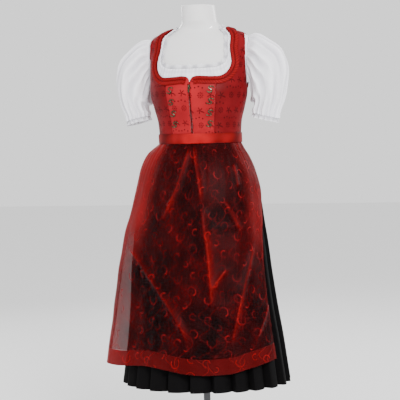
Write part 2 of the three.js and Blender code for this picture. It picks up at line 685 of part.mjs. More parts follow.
// How far the apron's folds stand out at a place.
function foldRise(turn, z) {
  const perDegree = 3.7; // millimetres of apron
  return FOLDS.reduce((sum, fold) => {
    const t = (fold.z0 - z) / (fold.z0 - fold.z2);
    if (t <= 0 || t >= 1) return sum;
    const bend = (fold.z0 - fold.z1) / (fold.z0 - fold.z2);
    const straight = mix(fold.turn0, fold.turn2, t);
    const bow = (fold.turn1 - mix(fold.turn0, fold.turn2, bend)) * (t * (1 - t)) / (bend * (1 - bend));
    const away = ((turn - straight - bow) * perDegree) / fold.width;
    const fade = ease(0, 0.12, t) * ease(0, 0.25, 1 - t);
    return sum + fold.rise * fade * Math.exp(-away * away);
  }, 0);
}

// A point over the apron's outer face, moved out by off.
function overApron(turn, z, off) {
  const pleat = smooth(SKIRT, 'z', 'pleat', z);
  const gap = smooth(APRON_CLEAR, 'z', 'gap', z);
  const flare = smooth(APRON_CLEAR, 'z', 'flare', z) * ease(-FLARE_FROM, -FLARE_FULL, -turn);
  const gather = 1.6 * Math.exp((z - APRON_TOP_Z) / 40) * Math.cos(turn * APRON_GATHERS * DEG * 2);
  const fall = 5 * ease(950, 500, z) * Math.cos((turn + 8) * 7 * DEG);
  const lift = Math.max(gather, -0.4) + fall * 0.8 + foldRise(turn, z);
  return overSkirt(turn, z, pleat + gap + flare + lift + off);
}

// The apron's columns at a height, from its folded-under left edge to its right edge.
function apronTurns(z) {
  const left = smooth(APRON_EDGE, 'z', 'left', z);
  const right = smooth(APRON_EDGE, 'z', 'right', z);
  const back = ease(-900, -690, -z) * (TUCK.reach + 2 * TUCK.turned);
  const tuck = smooth(APRON_CLEAR, 'z', 'tuck', z);
  const under = [
    { turn: left - 2 * TUCK.turned + back, off: -tuck },
    { turn: left - 1.6 * TUCK.turned + back / 2, off: -tuck },
    { turn: left - TUCK.turned, off: -tuck / 2 },
  ];
  const face = steps(APRON_COLUMNS).map((t) => ({ turn: mix(left, right, t), off: 0 }));
  return [...under, ...face];
}

function addApron() {
  const hemAt = (turn) => smooth(APRON_HEM, 'turn', 'z', turn);
  const columns = apronTurns(HEM_Z).length;
  const rowsAt = (shares, from, to) => Array.from({ length: columns }, (_, i) => shares.map((share) => {
    const low = apronTurns(HEM_Z + 90)[i];
    const z = mix(from(low.turn), to(low.turn), share);
    const here = apronTurns(z)[i];
    return overApron(here.turn, z, here.off);
  }));
  const bandTop = (turn) => hemAt(turn) + HEM_BAND;
  const cloth = rowsAt(APRON_ROWS, () => APRON_TOP_Z, (turn) => bandTop(turn) + SEAM_GAP);
  add('apron', wall(cloth, movedIn(cloth, CLOTH, false), false), FINISH.organza);
  const band = rowsAt([0, 1], bandTop, hemAt);
  add('apron_hem', wall(band, movedIn(band, HEM_CLOTH, false), false), FINISH.organza);
}

// The apron's ties end in a plain bow behind the waist.
function addBow() {
  const midZ = (BAND.top + BAND.bottom) / 2;
  const backY = overForm(180, midZ, WAISTBAND.outer).y;
  const knot = new THREE.SphereGeometry(1, 12, 8);
  knot.scale(KNOT.across, KNOT.deep, KNOT.high);
  knot.translate(0, backY + KNOT.deep + 0.8, midZ);
  add('bow_knot', knot, FINISH.satin);

  // Each loop is a ribbon round a drop shape that widens away from the knot.
  const around = 18;
  const loop = Array.from({ length: around }, (_, k) => {
    const angle = (2 * Math.PI * k) / around;
    const share = (1 - Math.cos(angle)) / 2;
    const opened = LOOP.deep * share ** 0.6 + 1.6;
    const x = LOOP.from + LOOP.reach * share;
    const y = backY + LOOP.lift + LOOP.bulge * share + opened * Math.sin(angle);
    const z = midZ - LOOP.drop * share;
    const half = mix(LOOP.half, LOOP.halfEnd, share);
    return [new THREE.Vector3(x, y, z + half), new THREE.Vector3(x, y, z - half)];
  });
  addPair('bow_loop', loop, movedIn(loop, CLOTH, true), FINISH.satin, true);

  const tail = [-1, 1].map((edge) => steps(9).map((t) => {
    const z = midZ - TAIL.below - TAIL.length * t;
    const across = edge * mix(TAIL.half, TAIL.halfEnd, t);
    const turn = 180 - TAIL.turn - TAIL.spread * t - across / SKIRT_MM_PER_DEGREE;
    const rests = overSkirt(turn, z, smooth(SKIRT, 'z', 'pleat', z) + TAIL.lift);
    rests.y = Math.max(rests.y, backY + TAIL.from);
    return rests;
  }));
  addPair('bow_tail', tail, movedIn(tail, CLOTH, false), FINISH.satin);
}

// Scrolls of flat metal that lie against the bodice beside the zip.
function addHooks() {
  const points = SCROLL.map((row) => new THREE.Vector2(row.across, row.up));
  const scroll = new THREE.SplineCurve(points).getSpacedPoints(14);
  for (const side of [-1, 1]) {
    HOOKS.forEach(({ z, lift }, k) => {
      const turn = side * HOOK_TURN;
      const seat = overForm(turn, z, 0);
      const out = formGradient(overForm(turn, z, 0)).normalize();
      const right = new THREE.Vector3(0, 0, 1).cross(out).normalize();
      const up = out.clone().cross(right);
      const frame = new THREE.Matrix4().makeBasis(right, up, out).setPosition(seat);
      const face = (height) => scroll.map((p, i) => {
        const before = scroll[Math.max(i - 1, 0)];
        const after = scroll[Math.min(i + 1, scroll.length - 1)];
        const run = after.clone().sub(before).normalize();
        return [-1, 1].map((edge) => {
          const off = (edge * HOOK.band) / 2;
          const q = new THREE.Vector3(p.x - run.y * off, p.y + run.x * off, 0);
          return ontoForm(q.applyMatrix4(frame), BODICE.outer + lift + height);
        });
      });
      const name = `hook_${side < 0 ? 'left' : 'right'}_${k + 1}`;
      add(name, wall(face(HOOK.thick), face(0), false), FINISH.antique);
    });
  }
}

// A flat shape with a thickness, centred on its own plane.
function plate(outline, thick, holes = []) {
  const flat = (rows) => rows.map((row) => new THREE.Vector2(row.across, row.up));
  const shape = new THREE.Shape(flat(outline));
  shape.holes = holes.map((hole) => new THREE.Path(flat(hole)));
  const geometry = new THREE.ExtrudeGeometry(shape, { depth: thick, bevelEnabled: false });
  return geometry.translate(0, 0, -thick / 2);
}

// The zip's closed chain, its slider with the bail, and the pull tab that hangs in the bail.
function addZip() {
  const half = ZIP_GAP - SEAM_GAP;
  const chain = (off) => [-1, 1].map((edge) => steps(6).map((t) => {
    const p = overForm(0, mix(CHAIN_TOP_Z, SEAM_Z + SEAM_GAP, t), off);
    return p.setX(edge * half);
  }));
  add('zip_chain', wall(chain(BODICE.outer), chain(BODICE.inner), false), FINISH.antique);

  const seat = new THREE.Group();
  seat.position.copy(overForm(0, SLIDER_Z, BODICE.outer + SEAM_GAP));
  const out = formGradient(overForm(0, SLIDER_Z, 0)).normalize();
  seat.rotation.x = -Math.atan2(out.z, -out.y);
  dirndl.add(seat);

  const body = new THREE.BoxGeometry(SLIDER.wide, SLIDER.deep, SLIDER.high);
  body.translate(0, -SLIDER.deep / 2, 0);
  const slider = new THREE.Mesh(body, FINISH.antique);
  slider.name = 'zip_slider';

  // The bail is an arch over the slider that runs along the zip.
  const foot = -SLIDER.deep - SEAM_GAP;
  const { reach, inside, rise, clear } = BAIL;
  const arch = table(['across', 'up'], [
    [-reach, 0], [-reach, clear], [-reach + 0.4, rise - 0.4], [-inside + 0.1, rise],
    [inside - 0.1, rise], [reach - 0.4, rise - 0.4], [reach, clear], [reach, 0], [inside, 0],
    [inside, clear], [-inside, clear], [-inside, 0],
  ]);
  const bailShape = plate(arch, BAIL.wide);
  bailShape.rotateY(90 * DEG);
  bailShape.rotateX(180 * DEG);
  bailShape.translate(0, foot, 0);
  const bail = new THREE.Mesh(bailShape, FINISH.antique);
  bail.name = 'zip_bail';

  // The tab's top bar lies under the arch, and the arch passes through the tab's eye.
  const tabShape = plate(TAB_OUTLINE, TAB.thick, [TAB_EYE]);
  tabShape.rotateX(90 * DEG);
  const tab = new THREE.Mesh(tabShape, FINISH.antique);
  tab.name = 'zip_pull_tab';
  tab.position.set(0, foot - TAB.above, -TAB.down);
  seat.add(slider, bail, tab);
}

addForm();
addBlouseHalf('blouse_front', BLOUSE_NECK_FRONT.toReversed(), SLEEVE_SEAM_FRONT, 0, -1);
addBlouseHalf('blouse_back', BLOUSE_NECK_BACK, SLEEVE_SEAM_BACK, 180, 1);
addSleeves();
addNeckFrill();
addBodice();
addTrims();
addZip();
addHooks();
addWaistband();
addSkirt();
addApron();
addBow();

export default dirndl;
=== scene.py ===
# %% A dirndl on a dress form, dressed for the render
# %% [markdown]
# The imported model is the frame. Each piece of cloth is made again as a fine thin shell on the same
# surface as its solid, in millimetres, and scaled to metres when its mesh is written.

import math

import bmesh
import bpy
import numpy as np
from mathutils import Matrix, Vector


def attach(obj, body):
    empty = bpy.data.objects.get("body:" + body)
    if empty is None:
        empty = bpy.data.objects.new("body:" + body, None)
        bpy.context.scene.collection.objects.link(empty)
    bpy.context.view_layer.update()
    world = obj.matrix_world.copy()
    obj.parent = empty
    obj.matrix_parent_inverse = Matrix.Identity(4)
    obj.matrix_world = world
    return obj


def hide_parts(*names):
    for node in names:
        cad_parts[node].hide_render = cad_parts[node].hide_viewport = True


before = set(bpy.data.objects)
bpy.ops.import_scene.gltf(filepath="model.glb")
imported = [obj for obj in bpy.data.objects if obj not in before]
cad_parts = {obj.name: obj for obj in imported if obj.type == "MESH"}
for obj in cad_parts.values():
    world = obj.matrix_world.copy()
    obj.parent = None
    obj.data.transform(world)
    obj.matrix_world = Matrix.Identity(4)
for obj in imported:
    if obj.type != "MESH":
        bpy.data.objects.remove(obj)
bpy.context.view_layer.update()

MM = 0.001
DEG = math.pi / 180
ROOT = "root"

# %% Named sizes
# %% [markdown]
# Heights above the floor and distances from the form, the same as in the solids.

SEAM_Z = 1006
HEM_Z = 242
BLOUSE_HEM_Z = 1125
BAND_TOP, BAND_BOTTOM = 1037, 1005.4
ARMHOLE_BOTTOM_Z = 1176
BLOUSE = (0.9, 2.1)
BODICE = (3.1, 5.1)
TRIM_INNER = 6.9
WAISTBAND = (6.5, 8.5)
CLOTH = 1.2
HEM_CLOTH = 2.4
SEAM_GAP = 0.3
ZIP_GAP = 2.2
MM_PER_DEGREE = 2.6
SKIRT_MM_PER_DEGREE = 3.2
PLEATS = 24
HEM_BAND = 48
APRON_TOP_Z = 1004.6


def table(names, rows):
    """Rows of numbers as named columns."""
    return dict(zip(names.split(), np.array(rows, float).T))


FORM = table("z half front back mid", [
    [756, 128, 78, 88, 4], [770, 150, 94, 104, 4], [850, 160, 102, 120, 4], [900, 150, 97, 113, 3],
    [950, 136, 94, 103, 2], [985, 128, 93, 95, 1], [1020, 127, 93, 93, 0], [1070, 130, 97, 92, 0],
    [1120, 142, 108, 96, 0], [1165, 152, 114, 102, -3], [1205, 154, 109, 104, 2],
    [1260, 156, 92, 96, 10], [1300, 161, 76, 84, 19], [1325, 164, 64, 70, 25],
    [1338, 158, 57, 62, 28], [1349, 141, 51, 54, 31], [1358, 114, 47, 49, 34],
    [1367, 86, 46, 46, 36], [1378, 68, 48, 48, 34], [1395, 57, 53, 53, 28], [1442, 54, 54, 54, 13],
])
SKIRT = table("z half front back shift pleat", [
    [228, 263, 216, 229, 0, 13], [358, 246, 202, 217, 0, 11.5], [498, 229, 187, 204, -4, 10],
    [626, 218, 174, 191, -8, 8.5], [722, 207, 163, 182, -8, 7.5], [815, 190, 151, 170, -3, 6.5],
    [876, 179, 140, 158, 0, 5.5], [918, 168, 130, 145, 0, 4.8], [960, 152, 115, 122, 0, 3.6],
    [990, 137, 103, 105, 0, 1.8], [1006, 132.1, 98.1, 98.1, 0, 0.3],
])
PLEAT_SHAPE = table("along rise", [[0, -1], [0.13, 1], [0.55, 0.6], [0.9, -0.5], [1, -1]])
SLEEVE = table("x y z lean across deep flat_right flat_left", [
    [180, 14, 1264, 82, 80, 40, 0, 8], [200, 17, 1240, 70, 90, 56, 3, 13],
    [219, 18, 1221, 56, 92, 63, 5, 23], [229, 18, 1192, 42, 84, 65, 9, 26],
    [231, 17, 1160, 27, 62, 61, 8, 14], [225, 16, 1128, 10, 50, 53, 4, 10],
    [217, 15, 1101, -8, 47, 46, 8, 14], [215, 15, 1087, -14, 45, 44, 6, 12],
])
APRON_CLEAR = table("z gap flare tuck", [
    [228, 12, 52, 9], [310, 12, 52, 9], [486, 11, 44, 9], [620, 10, 32, 9], [735, 9, 23, 8],
    [800, 8.5, 19, 7], [880, 8, 18, 5], [940, 6.5, 21, 3], [975, 5, 20, 2], [990, 3.5, 12, 1],
    [1004.6, 2, 0, 0],
])
APRON_EDGE = table("z left right", [
    [228, -84, 68], [400, -84, 68], [600, -85, 70], [700, -86, 73], [780, -87, 80],
    [860, -88, 86], [1005, -88, 90],
])
APRON_HEM = table("turn z", [
    [-90, 305], [-60, 308], [-30, 318], [-15, 313], [0, 302], [12, 298], [26, 300], [43, 316],
    [72, 334],
])
FLARE_FROM, FLARE_FULL = -42, -80
TUCK_REACH, TUCK_TURNED = 12, 1.2
APRON_GATHERS = 15
FOLDS = table("turn0 z0 turn1 z1 turn2 z2 rise width", [
    [-3, 1003, -8.4, 903, -24.6, 755, 10, 13], [2, 1003, 8, 910, 12, 816, 10, 13],
    [12, 816, 16.5, 700, 18, 490, 9, 18], [47.4, 940, 47, 900, 46.6, 860, 6, 13],
    [32, 830, 39, 783, 46.5, 726, 6, 13], [58.7, 696, 47.5, 600, 29.6, 375, 9, 14],
    [67.6, 503, 60, 460, 48.5, 400, 6, 13], [-64, 700, -26, 573, 1.6, 370, 8, 16],
    [31.4, 620, 22, 575, 16.5, 545, 6, 13],
])

# %% [markdown]
# Edges are drawn on the form as degrees round from the front and height.

NECK_CENTRE = [[0, 1199], [3, 1210], [8, 1213], [18, 1212], [31, 1211.5]]
NECK_SIDE = [
    [31, 1211.5], [37, 1214], [43.5, 1224], [48, 1239], [49.5, 1256], [47.5, 1275], [45, 1291],
    [43, 1312], [43, 1330], [47, 1350], [61, 1362], [90, 1367],
]
NECK_BACK = [
    [90, 1367], [125, 1360], [141, 1349], [146, 1330], [149, 1312], [154, 1299], [160, 1292],
]
NECK_BACK_CENTRE = [[160, 1292], [170, 1288], [180, 1287]]
ARMHOLE_FRONT = [
    [90, 1349], [79, 1346], [69, 1334], [65, 1318], [70, 1292], [76, 1265], [80, 1235],
    [85, 1200], [90, ARMHOLE_BOTTOM_Z],
]
ARMHOLE_BACK = [
    [90, 1349], [101, 1346], [109, 1334], [113, 1314], [113, 1285], [112, 1250], [107, 1210],
    [99, 1184], [90, ARMHOLE_BOTTOM_Z],
]
SLEEVE_SEAM_FRONT = [
    [90, 1339], [81, 1334], [76, 1318], [77, 1292], [81, 1265], [84, 1235], [88, 1208], [90, 1196],
]
SLEEVE_SEAM_BACK = [
    [90, 1339], [99, 1334], [105, 1318], [107, 1285], [105, 1250], [101, 1224], [96, 1206],
    [90, 1196],
]
BLOUSE_NECK_FRONT = [
    [0, 1238], [18, 1239], [32, 1243], [41, 1256], [43.5, 1274], [42, 1292], [40, 1315],
    [40.5, 1338], [47, 1355], [62, 1366], [90, 1369],
]
BLOUSE_NECK_BACK = [
    [90, 1369], [127, 1363], [144, 1353], [150, 1334], [153, 1318], [162, 1307], [180, 1302],
]
PRINCESS_FRONT, PRINCESS_BACK = 31, 154
HOOK_TURN = 24.7
HOOKS = table("z lift", [[1172, 0.15], [1137, 0.3], [1101, 0.4], [1067, 0.9]])
SCROLL = np.array([
    [10.4, 3.6], [9, 6.9], [4.5, 8.3], [-0.6, 8], [-4.4, 5.2], [-3, 1.8], [3, -1.8], [4.4, -5.2],
    [0.6, -8], [-4.5, -8.3], [-9, -6.9], [-10.4, -3.6],
])

# %% Surfaces
# %% [markdown]
# Functions that give points over the form and over the skirt for whole arrays at a time.


def mix(a, b, t):
    return a + (b - a) * t


def ease(start, end, t):
    """Rises smoothly from 0 to 1 while t goes from start to end."""
    s = np.clip((np.asarray(t, float) - start) / (end - start), 0, 1)
    return s * s * (3 - 2 * s)


def bell(away):
    return np.exp(-away ** 2)


def steps(count):
    """A row of values from 0 to 1 in so many equal steps."""
    return np.linspace(0, 1, count + 1)[None, :]


def laps(count):
    """So many angles round a full circle."""
    return np.linspace(0, 2 * math.pi, count, endpoint=False)


def smooth(rows, key, column, at):
    """Reads a column on a smooth curve through the rows, which never swings past them."""
    x, y = rows[key], rows[column]
    at = np.asarray(at, float)
    slope = np.diff(y) / np.diff(x)
    both = slope[:-1] * slope[1:]
    total = slope[:-1] + slope[1:]
    inner = np.where(both > 0, 2 * both / np.where(both > 0, total, 1), 0)
    tangent = np.concatenate([slope[:1], inner, slope[-1:]])
    k = np.clip(np.searchsorted(x, at, "left") - 1, 0, len(x) - 2)
    span = x[k + 1] - x[k]
    t = np.clip((at - x[k]) / span, 0, 1)
    bend = span * (tangent[k] * (1 - t) - tangent[k + 1] * t)
    return y[k] + (y[k + 1] - y[k]) * t * t * (3 - 2 * t) + bend * t * (1 - t)


def read(rows, columns, z):
    """Several columns of a table at heights z."""
    return (smooth(rows, "z", column, z) for column in columns.split())


def unit(v):
    return v / np.maximum(np.linalg.norm(v, axis=-1, keepdims=True), 1e-9)


def form_level(p):
    """1 on the form, less inside it and more outside it."""
    half, front, back, mid = read(FORM, "half front back mid", p[..., 2])
    depth = np.where(p[..., 1] < mid, front, back)
    return (p[..., 0] / half) ** 2 + ((p[..., 1] - mid) / depth) ** 2


def form_gradient(p):
    step = 0.5
    sides = [form_level(p + step * axis) - form_level(p - step * axis) for axis in np.eye(3)]
    return np.stack(sides, -1) / (2 * step)


def over_form(turn, z, off=0.0):
    """Points over the form, by degrees round from the front, height, and distance from it."""
    turn, z = np.broadcast_arrays(np.asarray(turn, float), np.asarray(z, float))
    half, front, back, mid = read(FORM, "half front back mid", z)
    depth = np.where(np.cos(turn * DEG) > 0, front, back)
    p = np.stack([half * np.sin(turn * DEG), mid - depth * np.cos(turn * DEG), z], -1)
    return p + unit(form_gradient(p)) * np.asarray(off, float)[..., None]


ONTO_STEPS = 8


def onto_form(p, off):
    """The nearest points of the form, moved out by off."""
    q = np.array(p, float)
    for _ in range(ONTO_STEPS):
        g = form_gradient(q)
        q += g * ((1 - form_level(q)) / np.sum(g * g, -1))[..., None]
    return q + unit(form_gradient(q)) * np.asarray(off, float)[..., None]


def over_skirt(turn, z, off=0.0):
    half, front, back, shift = read(SKIRT, "half front back shift", z)
    depth = np.where(np.cos(turn * DEG) > 0, front, back)
    x = shift + (half + off) * np.sin(turn * DEG)
    return np.stack([x, -(depth + off) * np.cos(turn * DEG), z + 0 * x], -1)


def run_length(line):
    """Length along a line up to each of its points."""
    return np.concatenate([[0], np.cumsum(np.linalg.norm(np.diff(line, axis=0), axis=-1))])


def signed(turn):
    """The turn from the front, from -180 to 180."""
    return (turn + 180) % 360 - 180


PATH_STEPS = 33


def path(points, count):
    """Points in equal steps along a centripetal Catmull-Rom curve through the given ones."""
    p = np.asarray(points, float)
    p = np.vstack([2 * p[0] - p[1], p, 2 * p[-1] - p[-2]])
    fine = np.linspace(0, 1, PATH_STEPS)[:, None]
    pieces = []
    for a, b, c, d in zip(p, p[1:], p[2:], p[3:]):
        t0, t1, t2 = (np.linalg.norm(v) ** 0.5 for v in (b - a, c - b, d - c))
        out = ((b - a) / t0 - (c - a) / (t0 + t1) + (c - b) / t1) * t1
        into = ((c - b) / t1 - (d - b) / (t1 + t2) + (d - c) / t2) * t1
        cube = 2 * b - 2 * c + out + into
        square = -3 * b + 3 * c - 2 * out - into
        pieces.append(b + out * fine + square * fine ** 2 + cube * fine ** 3)
    line = np.vstack(pieces)
    length = run_length(line)
    shares = np.linspace(0, 1, count) if np.isscalar(count) else np.clip(count, 0, 1)
    wanted = shares * length[-1]
    return np.stack([np.interp(wanted, length, column) for column in line.T], -1)


def edge_path(rows, shares):
    """An edge on the form, in columns turn and z, at shares of its length."""
    scale = np.array([MM_PER_DEGREE, 1])
    return path(np.array(rows) * scale, shares) / scale


def between(start, end, rows, off, sink=None):
    """A panel's points between two edges with the same number of stops."""
    t = steps(rows)
    turn = mix(start[:, None, 0], end[:, None, 0], t)
    z = mix(start[:, None, 1], end[:, None, 1], t)
    return over_form(turn, z, off + np.zeros_like(turn) if sink is None else off + sink(turn, z, t))


def mirror(grid):
    return grid * np.array([-1.0, 1, 1])


SIDES = [("right", lambda grid: grid), ("left", mirror)]


def normals(grid, closed):
    """Unit vectors across the cloth at each of its points."""
    if closed:
        along = np.roll(grid, -1, 0) - np.roll(grid, 1, 0)
    else:
        along = np.gradient(grid, axis=0)
    return unit(np.cross(np.gradient(grid, axis=1), along))


# %% Meshes
# %% [markdown]
# A piece of cloth is a closed thin shell between two grids. Its UV map holds cloth coordinates in
# metres, so that weaves and repeats have their true size.


def cloth_lengths(grid, closed):
    """Cloth coordinates of each point, in millimetres along the grid's two directions."""
    ring = np.concatenate([grid, grid[:1]]) if closed else grid
    along = np.linalg.norm(np.diff(ring, axis=0), axis=-1).mean(1)
    u = np.concatenate([[0], np.cumsum(along)])
    down = np.linalg.norm(np.diff(ring, axis=1), axis=-1)
    v = np.concatenate([np.zeros((len(ring), 1)), np.cumsum(down, 1)], 1)
    return np.stack([np.broadcast_to(u[:, None], v.shape), v], -1)


def to_scene(name, data):
    obj = bpy.data.objects.new(name, data)
    bpy.context.scene.collection.objects.link(obj)
    return obj


def new_object(name, verts, faces, material):
    mesh = bpy.data.meshes.new(name)
    mesh.from_pydata(verts, [], faces)
    mesh.materials.append(material)
    obj = to_scene(name, mesh)
    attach(obj, ROOT)
    return obj


def smooth_shading(obj, degrees):
    """Smooth shading with sharp edges where the surface turns by more than so many degrees."""
    obj.data.shade_smooth()
    obj.data.set_sharp_from_angle(angle=degrees * DEG)


def declare(obj, slot, *nodes):
    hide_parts(*nodes)


def ring_faces(around, rings, first=0):
    """Quads between rings of so many points each, from the vertex with number first."""
    k = np.arange(around)
    n = (k + 1) % around
    starts = first + np.arange(rings - 1)[:, None] * around
    corners = [starts + k, starts + n, starts + around + n, starts + around + k]
    return np.stack(corners, -1).reshape(-1, 4).tolist()


def shell(name, outer, inner, material, closed=False, uv=None, fields=None):
    """A closed thin mesh between two grids, with faces pointing out."""
    rows, columns = outer.shape[:2]
    size = rows * columns
    verts = np.concatenate([outer.reshape(-1, 3), inner.reshape(-1, 3)]) * MM
    if uv is None:
        uv = cloth_lengths(outer, closed)
    spans = rows if closed else rows - 1
    i, j = np.meshgrid(np.arange(spans), np.arange(columns - 1), indexing="ij")
    i, j = i.ravel(), j.ravel()

    quads, maps = [], []

    def add(*corners):
        """Adds quads whose corners are given as row, column and side, 0 outside and 1 inside."""
        quads.append(np.stack([side * size + (a % rows) * columns + b for a, b, side in corners], 1))
        maps.append(np.stack([uv[a + 0 * b, b + 0 * a] for a, b, _ in corners], 1))

    add((i, j, 0), (i + 1, j, 0), (i + 1, j + 1, 0), (i, j + 1, 0))
    add((i, j, 1), (i, j + 1, 1), (i + 1, j + 1, 1), (i + 1, j, 1))
    k, last = np.arange(spans), columns - 1
    add((k, 0, 1), (k + 1, 0, 1), (k + 1, 0, 0), (k, 0, 0))
    add((k, last, 0), (k + 1, last, 0), (k + 1, last, 1), (k, last, 1))
    if not closed:
        m, end = np.arange(columns - 1), rows - 1
        add((0, m, 0), (0, m + 1, 0), (0, m + 1, 1), (0, m, 1))
        add((end, m, 1), (end, m + 1, 1), (end, m + 1, 0), (end, m, 0))
    quads, maps = np.concatenate(quads), np.concatenate(maps)
    a, b, c, d = (verts[quads[:, n]] for n in range(4))
    volume = np.einsum("ij,ij->", a, np.cross(b, c)) + np.einsum("ij,ij->", a, np.cross(c, d))
    if volume < 0:
        quads, maps = quads[:, ::-1], maps[:, ::-1]
    obj = new_object(name, verts.tolist(), quads.tolist(), material)
    mesh = obj.data
    layer = mesh.uv_layers.new(name="cloth")
    layer.data.foreach_set("uv", (maps.reshape(-1, 2) * MM).astype(np.float32).ravel())
    for field, values in (fields or {}).items():
        attribute = mesh.attributes.new(field, "FLOAT", "POINT")
        flat = np.asarray(values, np.float32).ravel()
        attribute.data.foreach_set("value", np.concatenate([flat, flat]))
    smooth_shading(obj, 50)
    return obj


SHORTEST_CUT = 0.0105
SMALLEST_SHARE = 0.31


def cloth(name, outer, thickness, material, slot, nodes, closed=False, uv=None,
          fields=None):
    """A piece of cloth with its inner face a thickness further in; the solids it stands for are hidden.
    """
    normal = normals(outer, closed)
    centre = outer.mean((0, 1))
    away = np.sum(normal * (outer - centre) * np.array([1, 1, 0.0])) > 0
    inner = outer - normal * thickness * (1 if away else -1)
    obj = shell(name, outer, inner, material, closed, uv, fields)
    declare(obj, slot, *nodes)
    spans = cloth_lengths(outer, closed)
    ring = np.concatenate([outer, outer[:1]]) if closed else outer
    width = np.linalg.norm(np.diff(ring, axis=0), axis=-1).sum(0).max() * MM
    length = max(spans[..., 1].max() * MM, SHORTEST_CUT)
    side_a = ring[1:, :-1] - ring[:-1, :-1]
    side_b = ring[:-1, 1:] - ring[:-1, :-1]
    side_c = ring[1:, 1:] - ring[:-1, :-1]
    area = (np.linalg.norm(np.cross(side_a, side_c), axis=-1).sum()
            + np.linalg.norm(np.cross(side_c, side_b), axis=-1).sum()) / 2 * MM * MM
    area = min(max(area, SMALLEST_SHARE * width * length), width * length)
    print(f"sheet {name}: cut {width * 1000:.0f} x {length * 1000:.0f} mm, {area:.4f} m2, "
          f"{len(obj.data.polygons)} faces")
    return obj


# %% Shader maths
# %% [markdown]
# A small class writes shader maths with the usual signs.


class Field:
    """A number that varies over a surface."""

    def __init__(self, paint, socket):
        self.paint = paint
        self.socket = socket

    def __add__(self, other):
        return self.paint.math("ADD", self, other)

    def __sub__(self, other):
        return self.paint.math("SUBTRACT", self, other)

    def __rsub__(self, other):
        return self.paint.math("SUBTRACT", other, self)

    def __mul__(self, other):
        return self.paint.math("MULTIPLY", self, other)

    def __truediv__(self, other):
        return self.paint.math("DIVIDE", self, other)

    def __lt__(self, other):
        return self.paint.math("LESS_THAN", self, other)

    __radd__ = __add__
    __rmul__ = __mul__


class Paint:
    """A material whose nodes are added one by one."""

    def __init__(self, name, **sockets):
        self.material = bpy.data.materials.new(name)
        self.material.use_nodes = True
        self.tree = self.material.node_tree
        self.shader = self.tree.nodes["Principled BSDF"]
        for socket, value in sockets.items():
            self.shader.inputs[socket.replace("_", " ")].default_value = value

    def link(self, socket, value):
        if isinstance(value, Field):
            self.tree.links.new(value.socket, socket)
        else:
            socket.default_value = value

    def node(self, kind, inputs=None, output=0, **properties):
        node = self.tree.nodes.new("ShaderNode" + kind)
        for key, value in properties.items():
            setattr(node, key, value)
        for key, value in (inputs or {}).items():
            self.link(node.inputs[key], value)
        return Field(self, node.outputs[output])

    def math(self, operation, *values):
        return self.node("Math", dict(enumerate(values)), operation=operation)

    def blend(self, a, b, share):
        """Mixes two colours."""
        return self.node("Mix", {6: a, 7: b, 0: share}, 2, data_type="RGBA")

    def cloth(self):
        """The cloth coordinates, in millimetres."""
        uv = self.node("UVMap", uv_map="cloth")
        scaled = self.node("VectorMath", {0: uv, 1: (1 / MM, 1 / MM, 0)}, operation="MULTIPLY")
        split = self.tree.nodes.new("ShaderNodeSeparateXYZ")
        self.tree.links.new(scaled.socket, split.inputs[0])
        return Field(self, split.outputs[0]), Field(self, split.outputs[1])

    def attribute(self, name):
        return self.node("Attribute", None, "Fac", attribute_name=name)

    def noise(self, scale, detail=2.0):
        place = self.node("TexCoord", None, "Object")
        return self.node("TexNoise", {"Scale": scale, "Detail": detail, "Vector": place})

    def modulo(self, value, period):
        return self.math("FLOORED_MODULO", value, period)

    def highest(self, values):
        """The highest of several fields at each point."""
        top = values[0]
        for value in values[1:]:
            top = self.math("MAXIMUM", top, value)
        return top

    def step(self, edge, width, value):
        """Rises from 0 to 1 across the edge."""
        low, high = edge - width / 2, edge + width / 2
        return self.node("MapRange", {0: value, 1: low, 2: high}, interpolation_type="SMOOTHSTEP")

    def weave(self, pitch, u, v):
        """Threads over and under at a pitch in millimetres, from 0 to 1."""
        wave = 2 * math.pi / pitch
        over = self.math("SINE", u * wave) * self.math("SINE", v * wave)
        return over * 0.5 + 0.5

    def finish(self, colour, roughness, bump, strength, distance, alpha=1.0):
        """Links the fields; the bump's distance is in metres."""
        bumped = self.node("Bump", {"Height": bump, "Strength": strength, "Distance": distance})
        shown = {"Base Color": colour, "Roughness": roughness, "Alpha": alpha, "Normal": bumped}
        for socket, value in shown.items():
            self.link(self.shader.inputs[socket], value)
        return self.material


# %% Plain materials
# %% [markdown]
# The glossy form, the painted stand, the white cotton and its lace, and the antique metal.


def form_material():
    paint = Paint("form_gloss", Coat_Weight=0.5, Coat_Roughness=0.08, IOR=1.5)
    cloud = paint.noise(9.0)
    colour = paint.blend((0.72, 0.705, 0.70, 1), (0.78, 0.77, 0.765, 1), cloud)
    return paint.finish(colour, cloud * 0.08 + 0.2, paint.noise(60.0), 0.04, 0.0006)


def steel_material():
    paint = Paint("stand_paint", Metallic=0.6)
    grain = paint.noise(420.0, 3.0)
    colour = paint.blend((0.05, 0.05, 0.053, 1), (0.085, 0.085, 0.09, 1), grain)
    return paint.finish(colour, grain * 0.2 + 0.34, grain, 0.1, 0.0002)


def cotton_material():
    """White cotton with painted shade: it turns grey where its attribute light is low, in the valleys of
    its folds.
    """
    paint = Paint("cotton", Sheen_Weight=0.1, Sheen_Roughness=0.5, Specular_IOR_Level=0.2)
    threads = paint.weave(0.9, *paint.cloth())
    slub = paint.noise(70.0, 4.0)
    pale, dim = (0.92, 0.9062, 0.9476, 1), (0.8556, 0.8418, 0.8878, 1)
    # Painted shade: the grey of the shaded fold valleys.
    valley_shade = (0.552, 0.5382, 0.5888, 1)
    colour = paint.blend(valley_shade, paint.blend(dim, pale, slub), paint.attribute("light"))
    return paint.finish(colour, slub * 0.1 + 0.78, threads + slub, 0.25, 0.0003)


